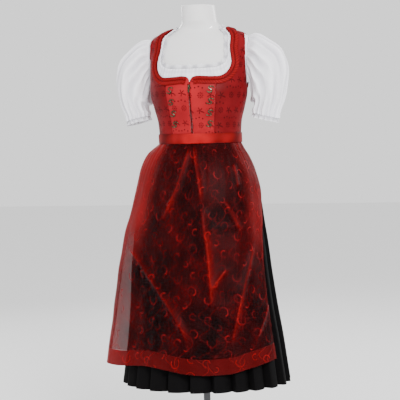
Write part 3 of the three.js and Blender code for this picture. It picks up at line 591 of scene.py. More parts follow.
def lace_material():
    paint = Paint("lace", Sheen_Weight=0.1)
    u, v = paint.cloth()
    cell, hole_radius = 3.0, 0.95
    ring_u = paint.math("PINGPONG", u, cell) - cell / 2
    ring_v = paint.math("PINGPONG", v, cell) - cell / 2
    hole = paint.math("SQRT", ring_u * ring_u + ring_v * ring_v)
    solid = paint.step(hole_radius, 0.25, hole)
    threads = paint.weave(1.1, u, v)
    # Painted shade: the lace greys where its attribute light is low, near the edge it hangs from and in
    # the hollows of its waves.
    colour = paint.blend((0.42, 0.41, 0.46, 1), (0.88, 0.87, 0.91, 1), paint.attribute("light"))
    colour = paint.blend(colour, (0.7, 0.69, 0.73, 1), threads * 0.2)
    return paint.finish(colour, 0.8, solid + threads * 0.4, 0.5, 0.0005, solid)


def antique_material():
    paint = Paint("antique_metal", Metallic=0.85)
    patina = paint.noise(260.0, 4.0)
    worn = paint.step(0.6, 0.2, patina)
    colour = paint.blend((0.035, 0.027, 0.013, 1), (0.21, 0.18, 0.12, 1), worn)
    return paint.finish(colour, worn * -0.2 + 0.5, patina, 0.4, 0.0004)


# %% Red and black cloth
# %% [markdown]
# The jacquard has darker sprigs, rings of dots and small triplets of dots on satin, in a repeat of
# 69 by 93 mm. The organza has a swirling vine of raised thread, in a repeat of 104 by 128 mm.


def local(paint, u, v, cell, at_u, at_v):
    """Coordinates from a motif's middle, in a repeat whose every second column is half a cell lower."""
    shifted = v + paint.math("FLOOR", u / cell[0]) * (cell[1] / 2)
    x = paint.modulo(u, cell[0]) - at_u
    y = paint.modulo(shifted, cell[1]) - at_v
    return x, y, paint.math("SQRT", x * x + y * y), paint.math("ARCTAN2", y, x)


SPRIG_CELL = (69, 93)
SPRIGS = [(17, 20, 0.3), (51, 66, 1.1)]
RINGS = [(20, 66), (54, 20)]
DOTS = [(3, 44), (14, 41), (26, 45), (37, 90), (48, 87), (60, 91)]
PETAL_REACH, SPRIG_HEART, LEAF_REACH = 9.5, 1.4, 4.6
RING_RADIUS, RING_DOTS, DOT_RADIUS = 6.8, 8.0, 2.2


def jacquard_material(name, dark, bright):
    paint = Paint(name, Sheen_Weight=0.06, Sheen_Roughness=0.35, Sheen_Tint=(1, 0.02, 0.02, 1),
                  Specular_IOR_Level=0.06)
    u, v = paint.cloth()
    marks = []
    for at_u, at_v, turned in SPRIGS:
        x, y, r, angle = local(paint, u, v, SPRIG_CELL, at_u, at_v)
        petal = paint.math("ABSOLUTE", paint.math("SINE", angle * 2.5 + turned))
        reach = paint.math("POWER", petal, 5.0) * PETAL_REACH + SPRIG_HEART
        marks.append(paint.step(0.0, 1.4, reach - r))
        leaf_x, leaf_y = x * 0.8 + y * 0.6 - 12, y * 0.8 - x * 0.6 + 3
        leaf = paint.math("SQRT", leaf_x * leaf_x + leaf_y * leaf_y * 6.0)
        marks.append(paint.step(0.0, 1.4, LEAF_REACH - leaf) * 0.7)
    for at_u, at_v in RINGS:
        _, _, r, angle = local(paint, u, v, SPRIG_CELL, at_u, at_v)
        ring = paint.step(-2.3, 1.2, paint.math("ABSOLUTE", r - RING_RADIUS) * -1)
        marks.append(ring * paint.step(0.1, 0.7, paint.math("COSINE", angle * RING_DOTS)))
        marks.append(paint.step(-2.1, 1.0, r * -1))
    for at_u, at_v in DOTS:
        _, _, r, _ = local(paint, u, v, SPRIG_CELL, at_u, at_v)
        marks.append(paint.step(-DOT_RADIUS, 1.0, r * -1))
    mark = paint.highest(marks)
    sheen = paint.step(0.5, 0.5, paint.noise(9.0, 3.0))
    ground = paint.blend(dark, bright, sheen)
    colour = paint.blend(ground, (dark[0] * 0.16, dark[1] * 0.2, dark[2] * 0.2, 1), mark * 0.95)
    twill = paint.math("SINE", (u + v * 0.6) * 5.2)
    height = twill * 0.15 + mark * 0.5
    return paint.finish(colour, mark * 0.2 + 0.42, height, 0.3, 0.0004)


def satin_material(name, dark, bright, roughness=0.32, painted_shine=False):
    """Satin. If asked, it also has painted shade and painted highlight: darker and brighter stretches
    from the attribute shine.
    """
    paint = Paint(name, Anisotropic=0.5, Specular_IOR_Level=0.06)
    _, v = paint.cloth()
    slub = paint.noise(24.0, 3.0)
    rib = paint.math("SINE", v * 6.0)
    colour = paint.blend(dark, bright, slub)
    if painted_shine:
        shine = paint.attribute("shine")
        # Painted shade: the deep red where the shine is low.
        deep = (dark[0] * 0.25, dark[1] * 0.2, dark[2] * 0.2, 1)
        colour = paint.blend(deep, colour, paint.math("MINIMUM", shine, 1.0))
    return paint.finish(colour, slub * 0.1 + roughness, rib * 0.3 + slub, 0.15, 0.0003)


def skirt_material():
    paint = Paint("black_cotton", Specular_IOR_Level=0.06)
    threads = paint.weave(1.0, *paint.cloth())
    slub = paint.noise(40.0, 4.0)
    colour = paint.blend((0.0012, 0.001, 0.0012, 1), (0.003, 0.0026, 0.0028, 1), slub)
    return paint.finish(colour, slub * 0.1 + 0.78, threads + slub, 0.3, 0.0003)


CURL_CELL = (104, 128)
CURLS = [(26, 30, 17, 0.6), (78, 70, 15, 2.9), (24, 94, 13, 4.4), (80, 18, 11, 5.3), (54, 116, 9, 1.7)]
CURL_SHARE, CURL_WIND, CURL_HALF = 0.68, 0.42, 0.9
STEMS = [(50, 24, 128), (10, 17, 64)]
STEM_HALF = 0.8
WANDER_U, WANDER_V = 26, 20
# Painted light: the paler red of the sides, and the lighter red of the ridges, partly painted highlight.
SIDE_LIGHT_RED = (0.22, 0.009, 0.010, 1)
VINE_RED, RIDGE_HIGHLIGHT_RED = (0.30, 0.006, 0.009, 1), (0.28, 0.004, 0.005, 1)


def curl_line(paint, u, v, at_u, at_v, radius, start):
    """One curl: a fine open spiral that is brightest at its inner end."""
    _, _, r, angle = local(paint, u, v, CURL_CELL, at_u, at_v)
    turned = paint.modulo(angle + start, 2 * math.pi) / (2 * math.pi)
    off = paint.math("ABSOLUTE", r - (radius - turned * (radius * CURL_WIND)))
    return paint.step(0.0, 0.7, CURL_HALF - off) * (turned < CURL_SHARE) * (turned * 0.9 + 0.4)


def stem_line(paint, u, v, start, sway, wave):
    """One stem: a fine line that sways across the cloth."""
    across = u + paint.math("SINE", v * (2 * math.pi / wave)) * sway
    off = paint.math("ABSOLUTE", paint.modulo(across, CURL_CELL[0]) - start)
    return paint.step(0.0, 0.7, STEM_HALF - off) * 0.45


def organza_material(name, low, high, cover, leaves=0.12):
    """Sheer cloth with painted light. Attributes say where it is a fold's ridge, puffed up, at the side,
    and how high up the side is.
    """
    paint = Paint(name, Sheen_Weight=0.12, Sheen_Roughness=0.28, Sheen_Tint=(1, 0.02, 0.02, 1),
                  Specular_IOR_Level=0.04)
    u, v = paint.cloth()
    wander = paint.noise(9.0, 1.0) - 0.5
    u2, v2 = u + wander * WANDER_U, v + wander * WANDER_V
    leaf = paint.step(0.58, 0.04, paint.noise(120.0, 1.0))
    leaf = leaf * paint.step(0.55, 0.08, paint.noise(15.0, 0.0))
    lines = [curl_line(paint, u2, v2, *curl) for curl in CURLS]
    lines += [stem_line(paint, u2, v2, *stem) for stem in STEMS]
    vine = paint.highest([leaf * leaves, *lines])
    vine = vine * (paint.step(0.5, 0.2, paint.noise(16.0, 1.0)) * 0.45 + 0.55)
    ridge, puff, side, side_height = (paint.attribute(field) for field in ("ridge", "puff", "side", "side_height"))
    # Painted light: random brighter patches stand for light on the folds, and puff makes it brighter
    # where it stands away from the skirt.
    cloud = paint.step(0.5, 0.3, paint.noise(8.0, 2.0))
    ground = paint.blend(low, high, paint.math("MINIMUM", cloud * 0.42 + puff * 0.26, 1.0))
    # Painted light: the sides turn a paler red, as with light coming through from behind, more so higher
    # up.
    ground = paint.blend(ground, SIDE_LIGHT_RED, side * (side_height * 0.2 + 0.45 + cloud * 0.2))
    colour = paint.blend(ground, VINE_RED, vine * 0.85)
    # The ridges turn a lighter red: partly painted highlight, partly the denser cloth where it doubles
    # over.
    colour = paint.blend(colour, RIDGE_HIGHLIGHT_RED, ridge * (cloud * 0.4 + 0.22))
    threads = paint.weave(0.8, u, v)
    more = vine * 0.14 + ridge * 0.14 + side * (side_height * 0.2 + 0.06)
    alpha = paint.math("MINIMUM", more + cover, 1.0)
    return paint.finish(colour, vine * -0.1 + 0.46, threads * 0.4 + vine, 0.3, 0.0004, alpha)


def red(amount, green, blue):
    return (amount, green, blue, 1)


FORM_PAINT = form_material()
STEEL = steel_material()
COTTON = cotton_material()
LACE = lace_material()
ANTIQUE = antique_material()
JACQUARD = jacquard_material("jacquard", red(0.09, 0.0018, 0.003), red(0.18, 0.0045, 0.0075))
JACQUARD_CENTRE = jacquard_material("jacquard_centre", red(0.19, 0.005, 0.008), red(0.33, 0.01, 0.015))
BRAID = satin_material("braid", red(0.15, 0.0025, 0.0035), red(0.27, 0.005, 0.0075), 0.5, True)
SATIN = satin_material("satin", red(0.14, 0.001, 0.0008), red(0.24, 0.003, 0.002))
SHINE_PAINTED_SATIN = satin_material("shine_painted_satin", red(0.22, 0.002, 0.003), red(0.38, 0.009, 0.012), 0.34, True)
ZIP_TAPE = satin_material("zip_tape", red(0.05, 0.0006, 0.0006), red(0.08, 0.001, 0.001), 0.6)
ZIP_TEETH = satin_material("zip_teeth", red(0.05, 0.006, 0.004), red(0.09, 0.012, 0.008), 0.4)
SKIRT_CLOTH = skirt_material()
ORGANZA = organza_material("organza", red(0.0035, 0.0002, 0.0003), red(0.06, 0.0012, 0.0018), 0.72)
HEM_REDS = red(0.045, 0.0008, 0.001), red(0.12, 0.002, 0.003)
ORGANZA_HEM = organza_material("organza_hem", *HEM_REDS, 0.9, 0.0)

# %% Dress form and stand
# %% [markdown]
# The form is one smooth glossy shell with a flat cut neck. The pole and the round base are turned.


FORM_BOTTOM, FORM_TOP = 756, 1442
FORM_RINGS = [(FORM_BOTTOM, 1300, 76), (1304, 1400, 44), (1404, FORM_TOP - 1, 10)]
FORM_AROUND, LATHE_AROUND = 144, 96
POLE = [[0, 40.3], [11, 40.3], [11, 300], [11, 755.7], [0, 755.7]]
BASE = [
    [0, 0], [154, 0], [158, 1], [160, 3.6], [158.6, 7], [155, 9.4], [60, 12.4], [24, 14], [19, 19],
    [16, 28], [14, 38], [12.6, 40], [0, 40],
]


def lathe(name, profile, node):
    """Turns a profile of radius and height round the middle line."""
    radius, z = np.array(profile[1:-1], float).T
    angle = laps(LATHE_AROUND)
    x, y = np.outer(radius, np.cos(angle)), np.outer(radius, np.sin(angle))
    rings = np.stack([x, y, z[:, None] + 0 * x], -1).reshape(-1, 3)
    verts = np.concatenate([[[0, 0, profile[0][1]]], rings, [[0, 0, profile[-1][1]]]]) * MM
    faces = ring_faces(LATHE_AROUND, len(radius), 1)
    top, end = 1 + (len(radius) - 1) * LATHE_AROUND, len(verts) - 1
    for k in range(LATHE_AROUND):
        n = (k + 1) % LATHE_AROUND
        faces += [(0, 1 + n, 1 + k), (top + k, top + n, end)]
    obj = new_object(name, verts.tolist(), faces, STEEL)
    smooth_shading(obj, 40)
    declare(obj, "steel", node)


def make_form():
    heights = np.concatenate([np.linspace(*stretch) for stretch in FORM_RINGS])
    turns = np.linspace(0, 360, FORM_AROUND, endpoint=False)
    grid = over_form(turns[None, :], heights[:, None], -0.1)
    grid[0, :, 2] = FORM_BOTTOM
    rim = grid[-1] * [0.985, 0.985, 1] + [0, 0.2, 1]
    rim[:, 2] = FORM_TOP
    rings = [grid[0] * [0.6, 0.6, 1], *grid, rim, rim * [0.55, 0.55, 1] + [0, 6, 0]]
    verts = np.concatenate(rings) * MM
    faces = ring_faces(FORM_AROUND, len(rings))
    faces += [list(range(FORM_AROUND))[::-1], list(range(len(verts) - FORM_AROUND, len(verts)))]
    obj = new_object("form", verts.tolist(), faces, FORM_PAINT)
    smooth_shading(obj, 35)
    declare(obj, "form", "form_torso")


make_form()
lathe("stand_pole", POLE, "form_pole")
lathe("stand_base", BASE, "form_base")

# %% Blouse
# %% [markdown]
# Batiste with a gathered neckline, puff sleeves gathered into the armhole and the cuff, and lace.


BLOUSE_STOPS = {"armhole": 56, "side": 16, "hem": 72}
BLOUSE_ROWS = 36
SIDE_GAP_TURN, TOP_GAP_TURN = 0.06, 0.3


def run_between(first, last, count):
    """Points in even steps from one place to another, without the first."""
    return np.linspace(first, last, count + 1)[1:]


def blouse_half(face, neck, seam, middle, side):
    """The front or the back: gathered along its neckline, with a painted shade line a little below it
    where the casing is.
    """
    side_turn = 90 + side * SIDE_GAP_TURN
    total = sum(BLOUSE_STOPS.values())
    neckline = edge_path(neck, total + 1)
    corner = (side_turn, BLOUSE_HEM_Z)
    outline = np.concatenate([
        edge_path(seam, BLOUSE_STOPS["armhole"] + 1),
        run_between((side_turn, seam[-1][1]), corner, BLOUSE_STOPS["side"]),
        run_between(corner, (middle, BLOUSE_HEM_Z), BLOUSE_STOPS["hem"]),
    ])
    neckline[0, 0] = outline[0, 0] = 90 + side * TOP_GAP_TURN
    stop = np.arange(total + 1)[:, None]
    ripple = np.cos(stop * 1.35 + 0.9 * np.sin(stop * 0.21))

    def gathers(turn, z, t):
        near = np.exp(-t * 7.0)
        return near * (ripple * 0.5 + 0.5) * 2.6 * ease(0.0, 0.03, t) + 0.3 * near

    right = between(neckline, outline, BLOUSE_ROWS, BLOUSE[1], gathers)
    grid = np.concatenate([right, mirror(right)[::-1][1:]])
    t = steps(BLOUSE_ROWS)
    # Painted shade: a dark line along the casing's groove and darker hollows between the gathers, in the
    # attribute light.
    casing_shade = 1 - 0.55 * bell((t - 0.09) / 0.035)
    slow = 0.15 * np.sin(stop * 0.4 + 9 * t)
    light = np.clip(0.75 + 0.35 * ripple * np.exp(-t * 4) + slow, 0, 1) * casing_shade
    light = np.concatenate([light, light[::-1][1:]])
    cloth(f"blouse_{face}_cloth", grid, BLOUSE[1] - BLOUSE[0], COTTON, "cotton", [f"blouse_{face}"],
          fields={"light": light})


blouse_half("front", BLOUSE_NECK_FRONT[::-1], SLEEVE_SEAM_FRONT, 0, -1)
blouse_half("back", BLOUSE_NECK_BACK, SLEEVE_SEAM_BACK, 180, 1)


def sleeve_ring(ring, angle, out, word):
    """Points of a sleeve's ring; angle 0 is its outer side, which is flatter by so much."""
    across = (ring["across"] + out) * np.cos(angle) - ring[f"flat_{word}"] * np.maximum(np.cos(angle), 0)
    lean = ring["lean"] * DEG
    return np.stack([ring["x"] + across * np.cos(lean), ring["y"] + (ring["deep"] + out) * np.sin(angle),
                     ring["z"] + across * np.sin(lean)], -1)


SLEEVE_AROUND, SLEEVE_ROWS = 220, 73
SLEEVE_SEAT = 3.4


def sleeve_grid(word):
    """A sleeve's smooth points, how far its folds rise from them, and its painted shade, darker where the
    folds sink.
    """
    angle = laps(SLEEVE_AROUND)
    half_turn = np.where(angle > math.pi, angle - 2 * math.pi, angle)
    share = np.abs(half_turn) / math.pi
    front, back = edge_path(SLEEVE_SEAM_FRONT, share), edge_path(SLEEVE_SEAM_BACK, share)
    seam = np.where((half_turn < 0)[:, None], front, back)
    rings = [over_form(*seam.T, SLEEVE_SEAT)]
    for row in zip(*SLEEVE.values()):
        rings.append(sleeve_ring(dict(zip(SLEEVE, row)), angle, 0.0, word))
    lines = np.stack([path(line, SLEEVE_ROWS) for line in np.stack(rings, 1)])
    s = steps(SLEEVE_ROWS - 1)
    a = angle[:, None]
    puff = np.sin(math.pi * np.clip(s * 1.04, 0, 1)) ** 0.6
    deep = 3.0 * bell((s - 0.25) / 0.3) + 2.8 * ease(0.5, 0.95, s)
    folds = (1 - np.abs(np.sin(8 * a + 0.25 * np.sin(3 * a) + 0.6 * s)) * 2) * deep
    slow = 2.2 * np.cos(7 * a + 5.1 * s) * puff + 1.6 * np.cos(11 * a - 7.3 * s + 1) * puff
    fine = 1.1 * np.cos(44 * a) * (np.exp(-s * 12) + np.exp(-(1 - s) * 9))
    rise = (folds * ease(0, 0.06, s) + slow + fine) * ease(0.0, 0.03, s)
    # Painted shade: the attribute light falls in the valleys of the folds.
    light = np.clip(0.72 + rise / 9 + 0.12 * np.cos(23 * a + 4 * s) * ease(0.3, 0.9, s), 0, 1)
    return lines, rise, light


def make_sleeve(side):
    word = "right" if side > 0 else "left"
    lines, rise, light = sleeve_grid(word)
    normal = normals(lines, True)
    middle = lines.mean(0)[None]
    outward = np.sign(np.sum(normal * (lines - middle), -1).mean())
    grid = lines + normal * outward * rise[..., None]
    if side < 0:
        grid = mirror(grid)
    lace = cuff_lace(side)
    cloth(f"sleeve_{word}_cloth", grid, CLOTH, COTTON, "cotton", [f"sleeve_{word}"],
          closed=True, fields={"light": light})


CUFF_LACE = {"around": 336, "rows": 12, "waves": 14, "scallops": 21, "from": 0.8, "to": 12.2}
LACE_THICK = 0.9


def cuff_lace(side):
    word = "right" if side > 0 else "left"
    waves = CUFF_LACE["waves"]
    angle = laps(CUFF_LACE["around"])[:, None]
    t = steps(CUFF_LACE["rows"])
    ring = {name: column[-1] for name, column in SLEEVE.items()}
    scallop = 1.6 * np.abs(np.cos(angle * CUFF_LACE["scallops"]))
    distance = mix(CUFF_LACE["from"], CUFF_LACE["to"] + scallop, t)
    out = t * (1 + 3.3 * np.cos(angle * waves) + 0.8 * np.cos(angle * 31 + 1))
    lean = ring["lean"] * DEG
    grid = sleeve_ring(ring, angle + 0 * t, out, word)
    grid = grid + np.stack([math.sin(lean) * distance, 0 * distance, -math.cos(lean) * distance], -1)
    if side < 0:
        grid = mirror(grid)
    # Painted shade: darker near the sleeve it hangs from and in the hollows of its waves.
    light = np.clip(0.25 + 0.75 * t + 0.3 * np.cos(angle * waves) * t, 0, 1)
    return cloth(f"cuff_lace_{word}_cloth", grid, LACE_THICK, LACE, "lace", [f"cuff_lace_{word}"],
                 closed=True, fields={"light": light})


make_sleeve(1)
make_sleeve(-1)


def along_edge(stops, distances, offs):
    """Points of a band along an edge of the form, by distance from the edge and from the form."""
    here = over_form(stops[:, 0], stops[:, 1], 0)
    run = unit(np.gradient(here, axis=0))
    across = np.cross(run, unit(form_gradient(here)))
    p = here[:, None] + across[:, None] * distances[..., None]
    return onto_form(p, offs)


def along_both(front, back, share, front_share):
    """Stops along an edge that goes over the shoulder, at shares of its whole length."""
    on_front = edge_path(front, share / front_share)
    on_back = edge_path(back, (share - front_share) / (1 - front_share))
    return np.where((share < front_share)[:, None], on_front, on_back)


FRILL = {"half_stops": 241, "rows": 8, "front_share": 0.58, "from": 1.2, "to": 13, "scallop": 2.4,
         "stops_a_scallop": 8}


def neck_frill():
    share = np.linspace(0, 1, FRILL["half_stops"])
    right = along_both(BLOUSE_NECK_FRONT, BLOUSE_NECK_BACK, share, FRILL["front_share"])
    ring = np.concatenate([right, right[1:-1][::-1] * [-1, 1]])
    stops = np.concatenate([ring[-2:], ring, ring[:2]])
    k = np.arange(len(stops))[:, None]
    t = steps(FRILL["rows"])
    phase = k * math.pi / FRILL["stops_a_scallop"]
    distance = -mix(FRILL["from"], FRILL["to"] - FRILL["scallop"] * np.abs(np.sin(phase)), t)
    wave = np.cos(phase + 0.7 * np.sin(k * 0.13))
    grid = along_edge(stops, distance, BLOUSE[1] + 0.5 + t * (3.4 + 2.6 * wave))[2:-2]
    # Painted shade: darker in the hollows of the waves and near the neckline it hangs from.
    light = np.clip(0.55 + 0.45 * wave + 0.3 * t, 0, 1)[2:-2]
    cloth("neck_frill_cloth", grid, LACE_THICK, LACE, "lace", ["neck_frill"],
          closed=True, fields={"light": light})


neck_frill()

# %% Bodice
# %% [markdown]
# Seven jacquard panels with princess seams, whose edges turn in at each seam.

CREASES = table("turn z run rise slope", [
    [-22, 1050, 34, 1.5, 0.5], [-36, 1068, 30, 1.6, 0.9], [33, 1042, 40, 1.4, -0.25],
    [48, 1058, 36, 1.6, -0.4], [62, 1110, 30, 1.2, 0.6], [40, 1150, 26, 1.0, -0.2],
    [-60, 1120, 30, 1.2, -0.7], [8, 1046, 26, 0.9, 0.2],
])


CREASE_WIDTH = 5.0
BODICE_BOTTOM = SEAM_Z + SEAM_GAP
SIDE_SHARES = {"waist": 49, "seam": 35, "armhole": 56}
CENTRE_STOPS, BACK_STOPS = 41, 49
CENTRE_ROWS, SIDE_ROWS = 90, 50
PRINCESS_RADIUS, ZIP_RADIUS_TOP, ZIP_RADIUS_WAIST = 130, 110, 93
SEAM_TURN = (SEAM_GAP / 2 / PRINCESS_RADIUS) / DEG
ZIP_TURN_TOP, ZIP_TURN_WAIST = ZIP_GAP / ZIP_RADIUS_TOP / DEG, ZIP_GAP / ZIP_RADIUS_WAIST / DEG
EDGE_SINK, EDGE_REACH = (0.8, 0.7), 1.2
REPEAT_FROM, REPEAT_TOP = 400, 1500
LEFT_REPEAT_SHIFT = [786, 9]
SIDE_PANELS = [
    ("bodice_side", "bodice_front_side", NECK_SIDE, PRINCESS_FRONT, ARMHOLE_FRONT, -1, 0.48),
    ("bodice_rear_side", "bodice_back_side", NECK_BACK[::-1], PRINCESS_BACK, ARMHOLE_BACK, 1, 0.12),
]


def creases(turn, z):
    """Soft pulls in the bodice near the waist and the side."""
    here = signed(turn)
    total = np.zeros_like(z)
    for t0, z0, run, rise, slope in zip(*CREASES.values()):
        x = (here - t0) * MM_PER_DEGREE
        y = z - z0
        across = (y - x * slope) / CREASE_WIDTH
        along = (x + y * slope) / run
        total += rise * bell(across) * bell(along)
    return total


def to_edge(count):
    """Steps from each of so many stops to the nearer end."""
    stop = np.arange(count)
    return np.minimum(stop, count - 1 - stop)


def panel(name, node, start, end, rows, material, sided=True):
    """A bodice panel, or one on each side, with edges that turn in and a UV map that follows the form."""
    edge_i, edge_j = to_edge(len(start))[:, None], to_edge(rows + 1)[None, :]

    def sink(turn, z, t):
        turned = -EDGE_SINK[0] * bell(edge_i / EDGE_REACH) - EDGE_SINK[1] * bell(edge_j / EDGE_REACH)
        return turned + creases(turn, z) * ease(0, 5, edge_i) * ease(0, 5, edge_j)

    t = steps(rows)
    turn = mix(start[:, None, 0], end[:, None, 0], t)
    z = mix(start[:, None, 1], end[:, None, 1], t)
    uv = np.stack([turn * MM_PER_DEGREE + REPEAT_FROM, REPEAT_TOP - z], -1)
    grid = between(start, end, rows, BODICE[1], sink)
    left = ("_left", mirror(grid), uv * [-1, 1] + LEFT_REPEAT_SHIFT)
    for side, points, place in [("_right", grid, uv), left] if sided else [("", grid, uv)]:
        cloth(name + side, points, BODICE[1] - BODICE[0], material, "jacquard", [node + side],
              uv=place)


def side_stops(neck, waist_from, armhole, side, facing_share):
    """The two long edges of a side panel: its neckline, and its waist, side seam and armhole."""
    waist, seam, arm = SIDE_SHARES.values()
    underarm = (waist + seam) / (waist + seam + arm)
    t = np.linspace(0, 1, waist + seam + arm + 1)
    after = mix(facing_share, 1, (t - underarm) / (1 - underarm))
    neckline = edge_path(neck, np.where(t < underarm, facing_share * t / underarm, after))
    corner = (90 + side * SIDE_GAP_TURN, BODICE_BOTTOM)
    outline = np.concatenate([
        np.linspace((waist_from, BODICE_BOTTOM), corner, waist + 1),
        run_between(corner, (corner[0], ARMHOLE_BOTTOM_Z), seam),
        edge_path(armhole, 1 - run_between(0, 1, arm)),
    ])
    neckline[-1, 0] = outline[-1, 0] = 90 + side * TOP_GAP_TURN
    return neckline, outline


def bodice():
    top = edge_path(NECK_CENTRE, CENTRE_STOPS)
    top[0, 0] = ZIP_TURN_TOP
    top[-1, 0] -= SEAM_TURN
    ends = (ZIP_TURN_WAIST, BODICE_BOTTOM), (PRINCESS_FRONT - SEAM_TURN, BODICE_BOTTOM)
    waist = np.linspace(*ends, CENTRE_STOPS)
    panel("bodice_centre", "bodice_front_centre", top, waist, CENTRE_ROWS, JACQUARD_CENTRE)

    for name, node, neck, waist_from, armhole, side, facing_share in SIDE_PANELS:
        neckline, outline = side_stops(neck, waist_from - side * SEAM_TURN, armhole, side, facing_share)
        neckline[0, 0] -= side * SEAM_TURN
        panel(name, node, neckline, outline, SIDE_ROWS, JACQUARD)

    half = edge_path(NECK_BACK_CENTRE, BACK_STOPS // 2 + 1)
    half[0, 0] += SEAM_TURN
    top = np.concatenate([half, half[:-1][::-1] * [-1, 1] + [360, 0]])
    start = PRINCESS_BACK + SEAM_TURN
    waist = np.linspace((start, BODICE_BOTTOM), (360 - start, BODICE_BOTTOM), BACK_STOPS)
    panel("bodice_rear_centre", "bodice_back_centre", top, waist, CENTRE_ROWS, JACQUARD, False)


bodice()

# %% Neckline trims
# %% [markdown]
# Two gathered satin trims on each side; the gathers lie slantwise across them.


TRIM_STOPS, TRIM_ROWS, TRIM_FRONT_SHARE = 640, 12, 0.6
TRIM_START, TRIM_END = [3.2, 1210], [179.8, 1287]
TRIMS = [("inner", 0.4, 11, 0.9), ("outer", 12, 25, -0.7)]
GATHER_LENGTH = 7.6


def trims():
    share = np.linspace(0, 1, TRIM_STOPS)
    front = [TRIM_START, *NECK_CENTRE[2:], *NECK_SIDE[1:]]
    stops = along_both(front, [*NECK_BACK, *NECK_BACK_CENTRE[1:-1], TRIM_END], share, TRIM_FRONT_SHARE)
    length = run_length(over_form(*stops.T))
    t = steps(TRIM_ROWS)
    for name, near, far, slant in TRIMS:
        width = far - near
        phase = (length[:, None] + slant * t * width) / GATHER_LENGTH
        ruche = np.abs(np.cos(math.pi * phase)) ** 0.7
        crown = np.sin(math.pi * np.clip(t, 0.02, 0.98)) ** 0.35
        # Painted highlight on the gathers' crowns and painted shade in their grooves and towards the
        # band's edges, as the attribute shine.
        shine = 0.25 + 0.75 * ruche * np.sin(math.pi * np.clip(t, 0.02, 0.9)) ** 0.6
        distance = mix(near, far, t) + 0 * phase
        outer = along_edge(stops, distance, TRIM_INNER + 0.5 + (0.7 + 1.9 * ruche) * crown)
        inner = along_edge(stops, distance, TRIM_INNER + 0 * phase)
        for side, flip in SIDES:
            obj = shell(f"trim_{name}_{side}_ruched", flip(outer), flip(inner), BRAID,
                        fields={"shine": shine})
            declare(obj, "braid", f"trim_{name}_{side}")


trims()

# %% Waistband
# %% [markdown]
# A satin band round the waist, puckered where it is sewn along its two edges.


BAND_AROUND, BAND_ROWS = 360, 20


def waistband():
    turn = np.linspace(0, 360, BAND_AROUND, endpoint=False)[:, None]
    t = steps(BAND_ROWS)
    z = mix(BAND_TOP, BAND_BOTTOM, t) + 0 * turn
    crown = np.sin(math.pi * t) ** 0.5
    pucker = 0.25 * np.cos(turn * DEG * 90) * (1 - crown) + 0.35 * np.cos(turn * DEG * 5 + 3 * t) * crown
    off = WAISTBAND[1] - 0.9 + crown * 0.9 + pucker
    grid = over_form(turn + 0 * t, z, off)
    here = signed(turn)
    # Painted highlight at the front and in two streaks, and painted shade to the sides and towards the
    # edges, as the attribute shine.
    front = np.exp(-((here - 2) / 24) ** 4)
    highlight_streaks = 0.3 * bell((here + 26) / 5) + 0.25 * bell((here - 46) / 9)
    wave = 0.14 * np.cos(here * 0.21 + t * 1.4) + 0.1 * np.cos(here * 0.07 - 1)
    shine = np.clip(0.3 + 0.7 * front + highlight_streaks + wave - 0.18 * np.abs(2 * t - 1) ** 3, 0.05, 1)
    cloth("waistband_satin", grid, CLOTH, SHINE_PAINTED_SATIN, "satin", ["waistband"],
          closed=True, fields={"shine": shine})


waistband()

# %% Skirt
# %% [markdown]
# Black cotton in knife pleats that open towards the hem.


STOPS_A_PLEAT, SKIRT_ROWS = 18, 72


def skirt():
    along = np.arange(PLEATS * STOPS_A_PLEAT) / STOPS_A_PLEAT
    rise = smooth(PLEAT_SHAPE, "along", "rise", along % 1)[:, None]
    z = np.linspace(HEM_Z, SEAM_Z, SKIRT_ROWS + 1)[::-1][None, :]
    turn = (360 * along / PLEATS)[:, None]
    sway = 0.8 * np.sin(turn * DEG * 5) * ease(900, 300, z)
    depth = smooth(SKIRT, "z", "pleat", z)
    ripple = 1.6 * np.sin(turn * DEG * 9 + z / 120) * ease(940, 600, z)
    grid = over_skirt(turn + sway, z + 0 * turn, rise * depth * 0.98 + ripple * 0.5)
    cloth("skirt_cloth", grid, CLOTH, SKIRT_CLOTH, "skirt", ["skirt"],
          closed=True)


skirt()

# %% Apron
# %% [markdown]
# Sheer organza gathered into the waist. Its left side stands away and folds under; the folds of the
# table are narrow ridges, and creases from folding cross it.

PRESSED = table("z from_turn to_turn depth", [
    [744, -60, 62, 1.6], [680, -50, 55, 1.2], [512, -62, 50, 1.4],
])


def fold_rise(turn, z):
    """Height of the folds, and how near each point is to a fold's ridge."""
    rise, ridge = np.zeros_like(turn), np.zeros_like(turn)
    for turn0, z0, turn1, z1, turn2, z2, high, width in zip(*FOLDS.values()):
        t = np.clip((z0 - z) / (z0 - z2), 0, 1)
        bend = (z0 - z1) / (z0 - z2)
        straight = mix(turn0, turn2, t)
        bow = (turn1 - mix(turn0, turn2, bend)) * (t * (1 - t)) / (bend * (1 - bend))
        away = (turn - straight - bow) * 3.7 / width
        fade = ease(0, 0.12, t) * ease(0, 0.25, 1 - t)
        rise += high * fade * np.exp(-np.abs(away * 1.25) ** 1.5)
        soft = 0.5 * bell(away * 1.3) * ease(-0.1, 0.1, away)
        ridge = np.maximum(ridge, fade * np.maximum(bell(away * 5.5), soft))
    return rise, ridge


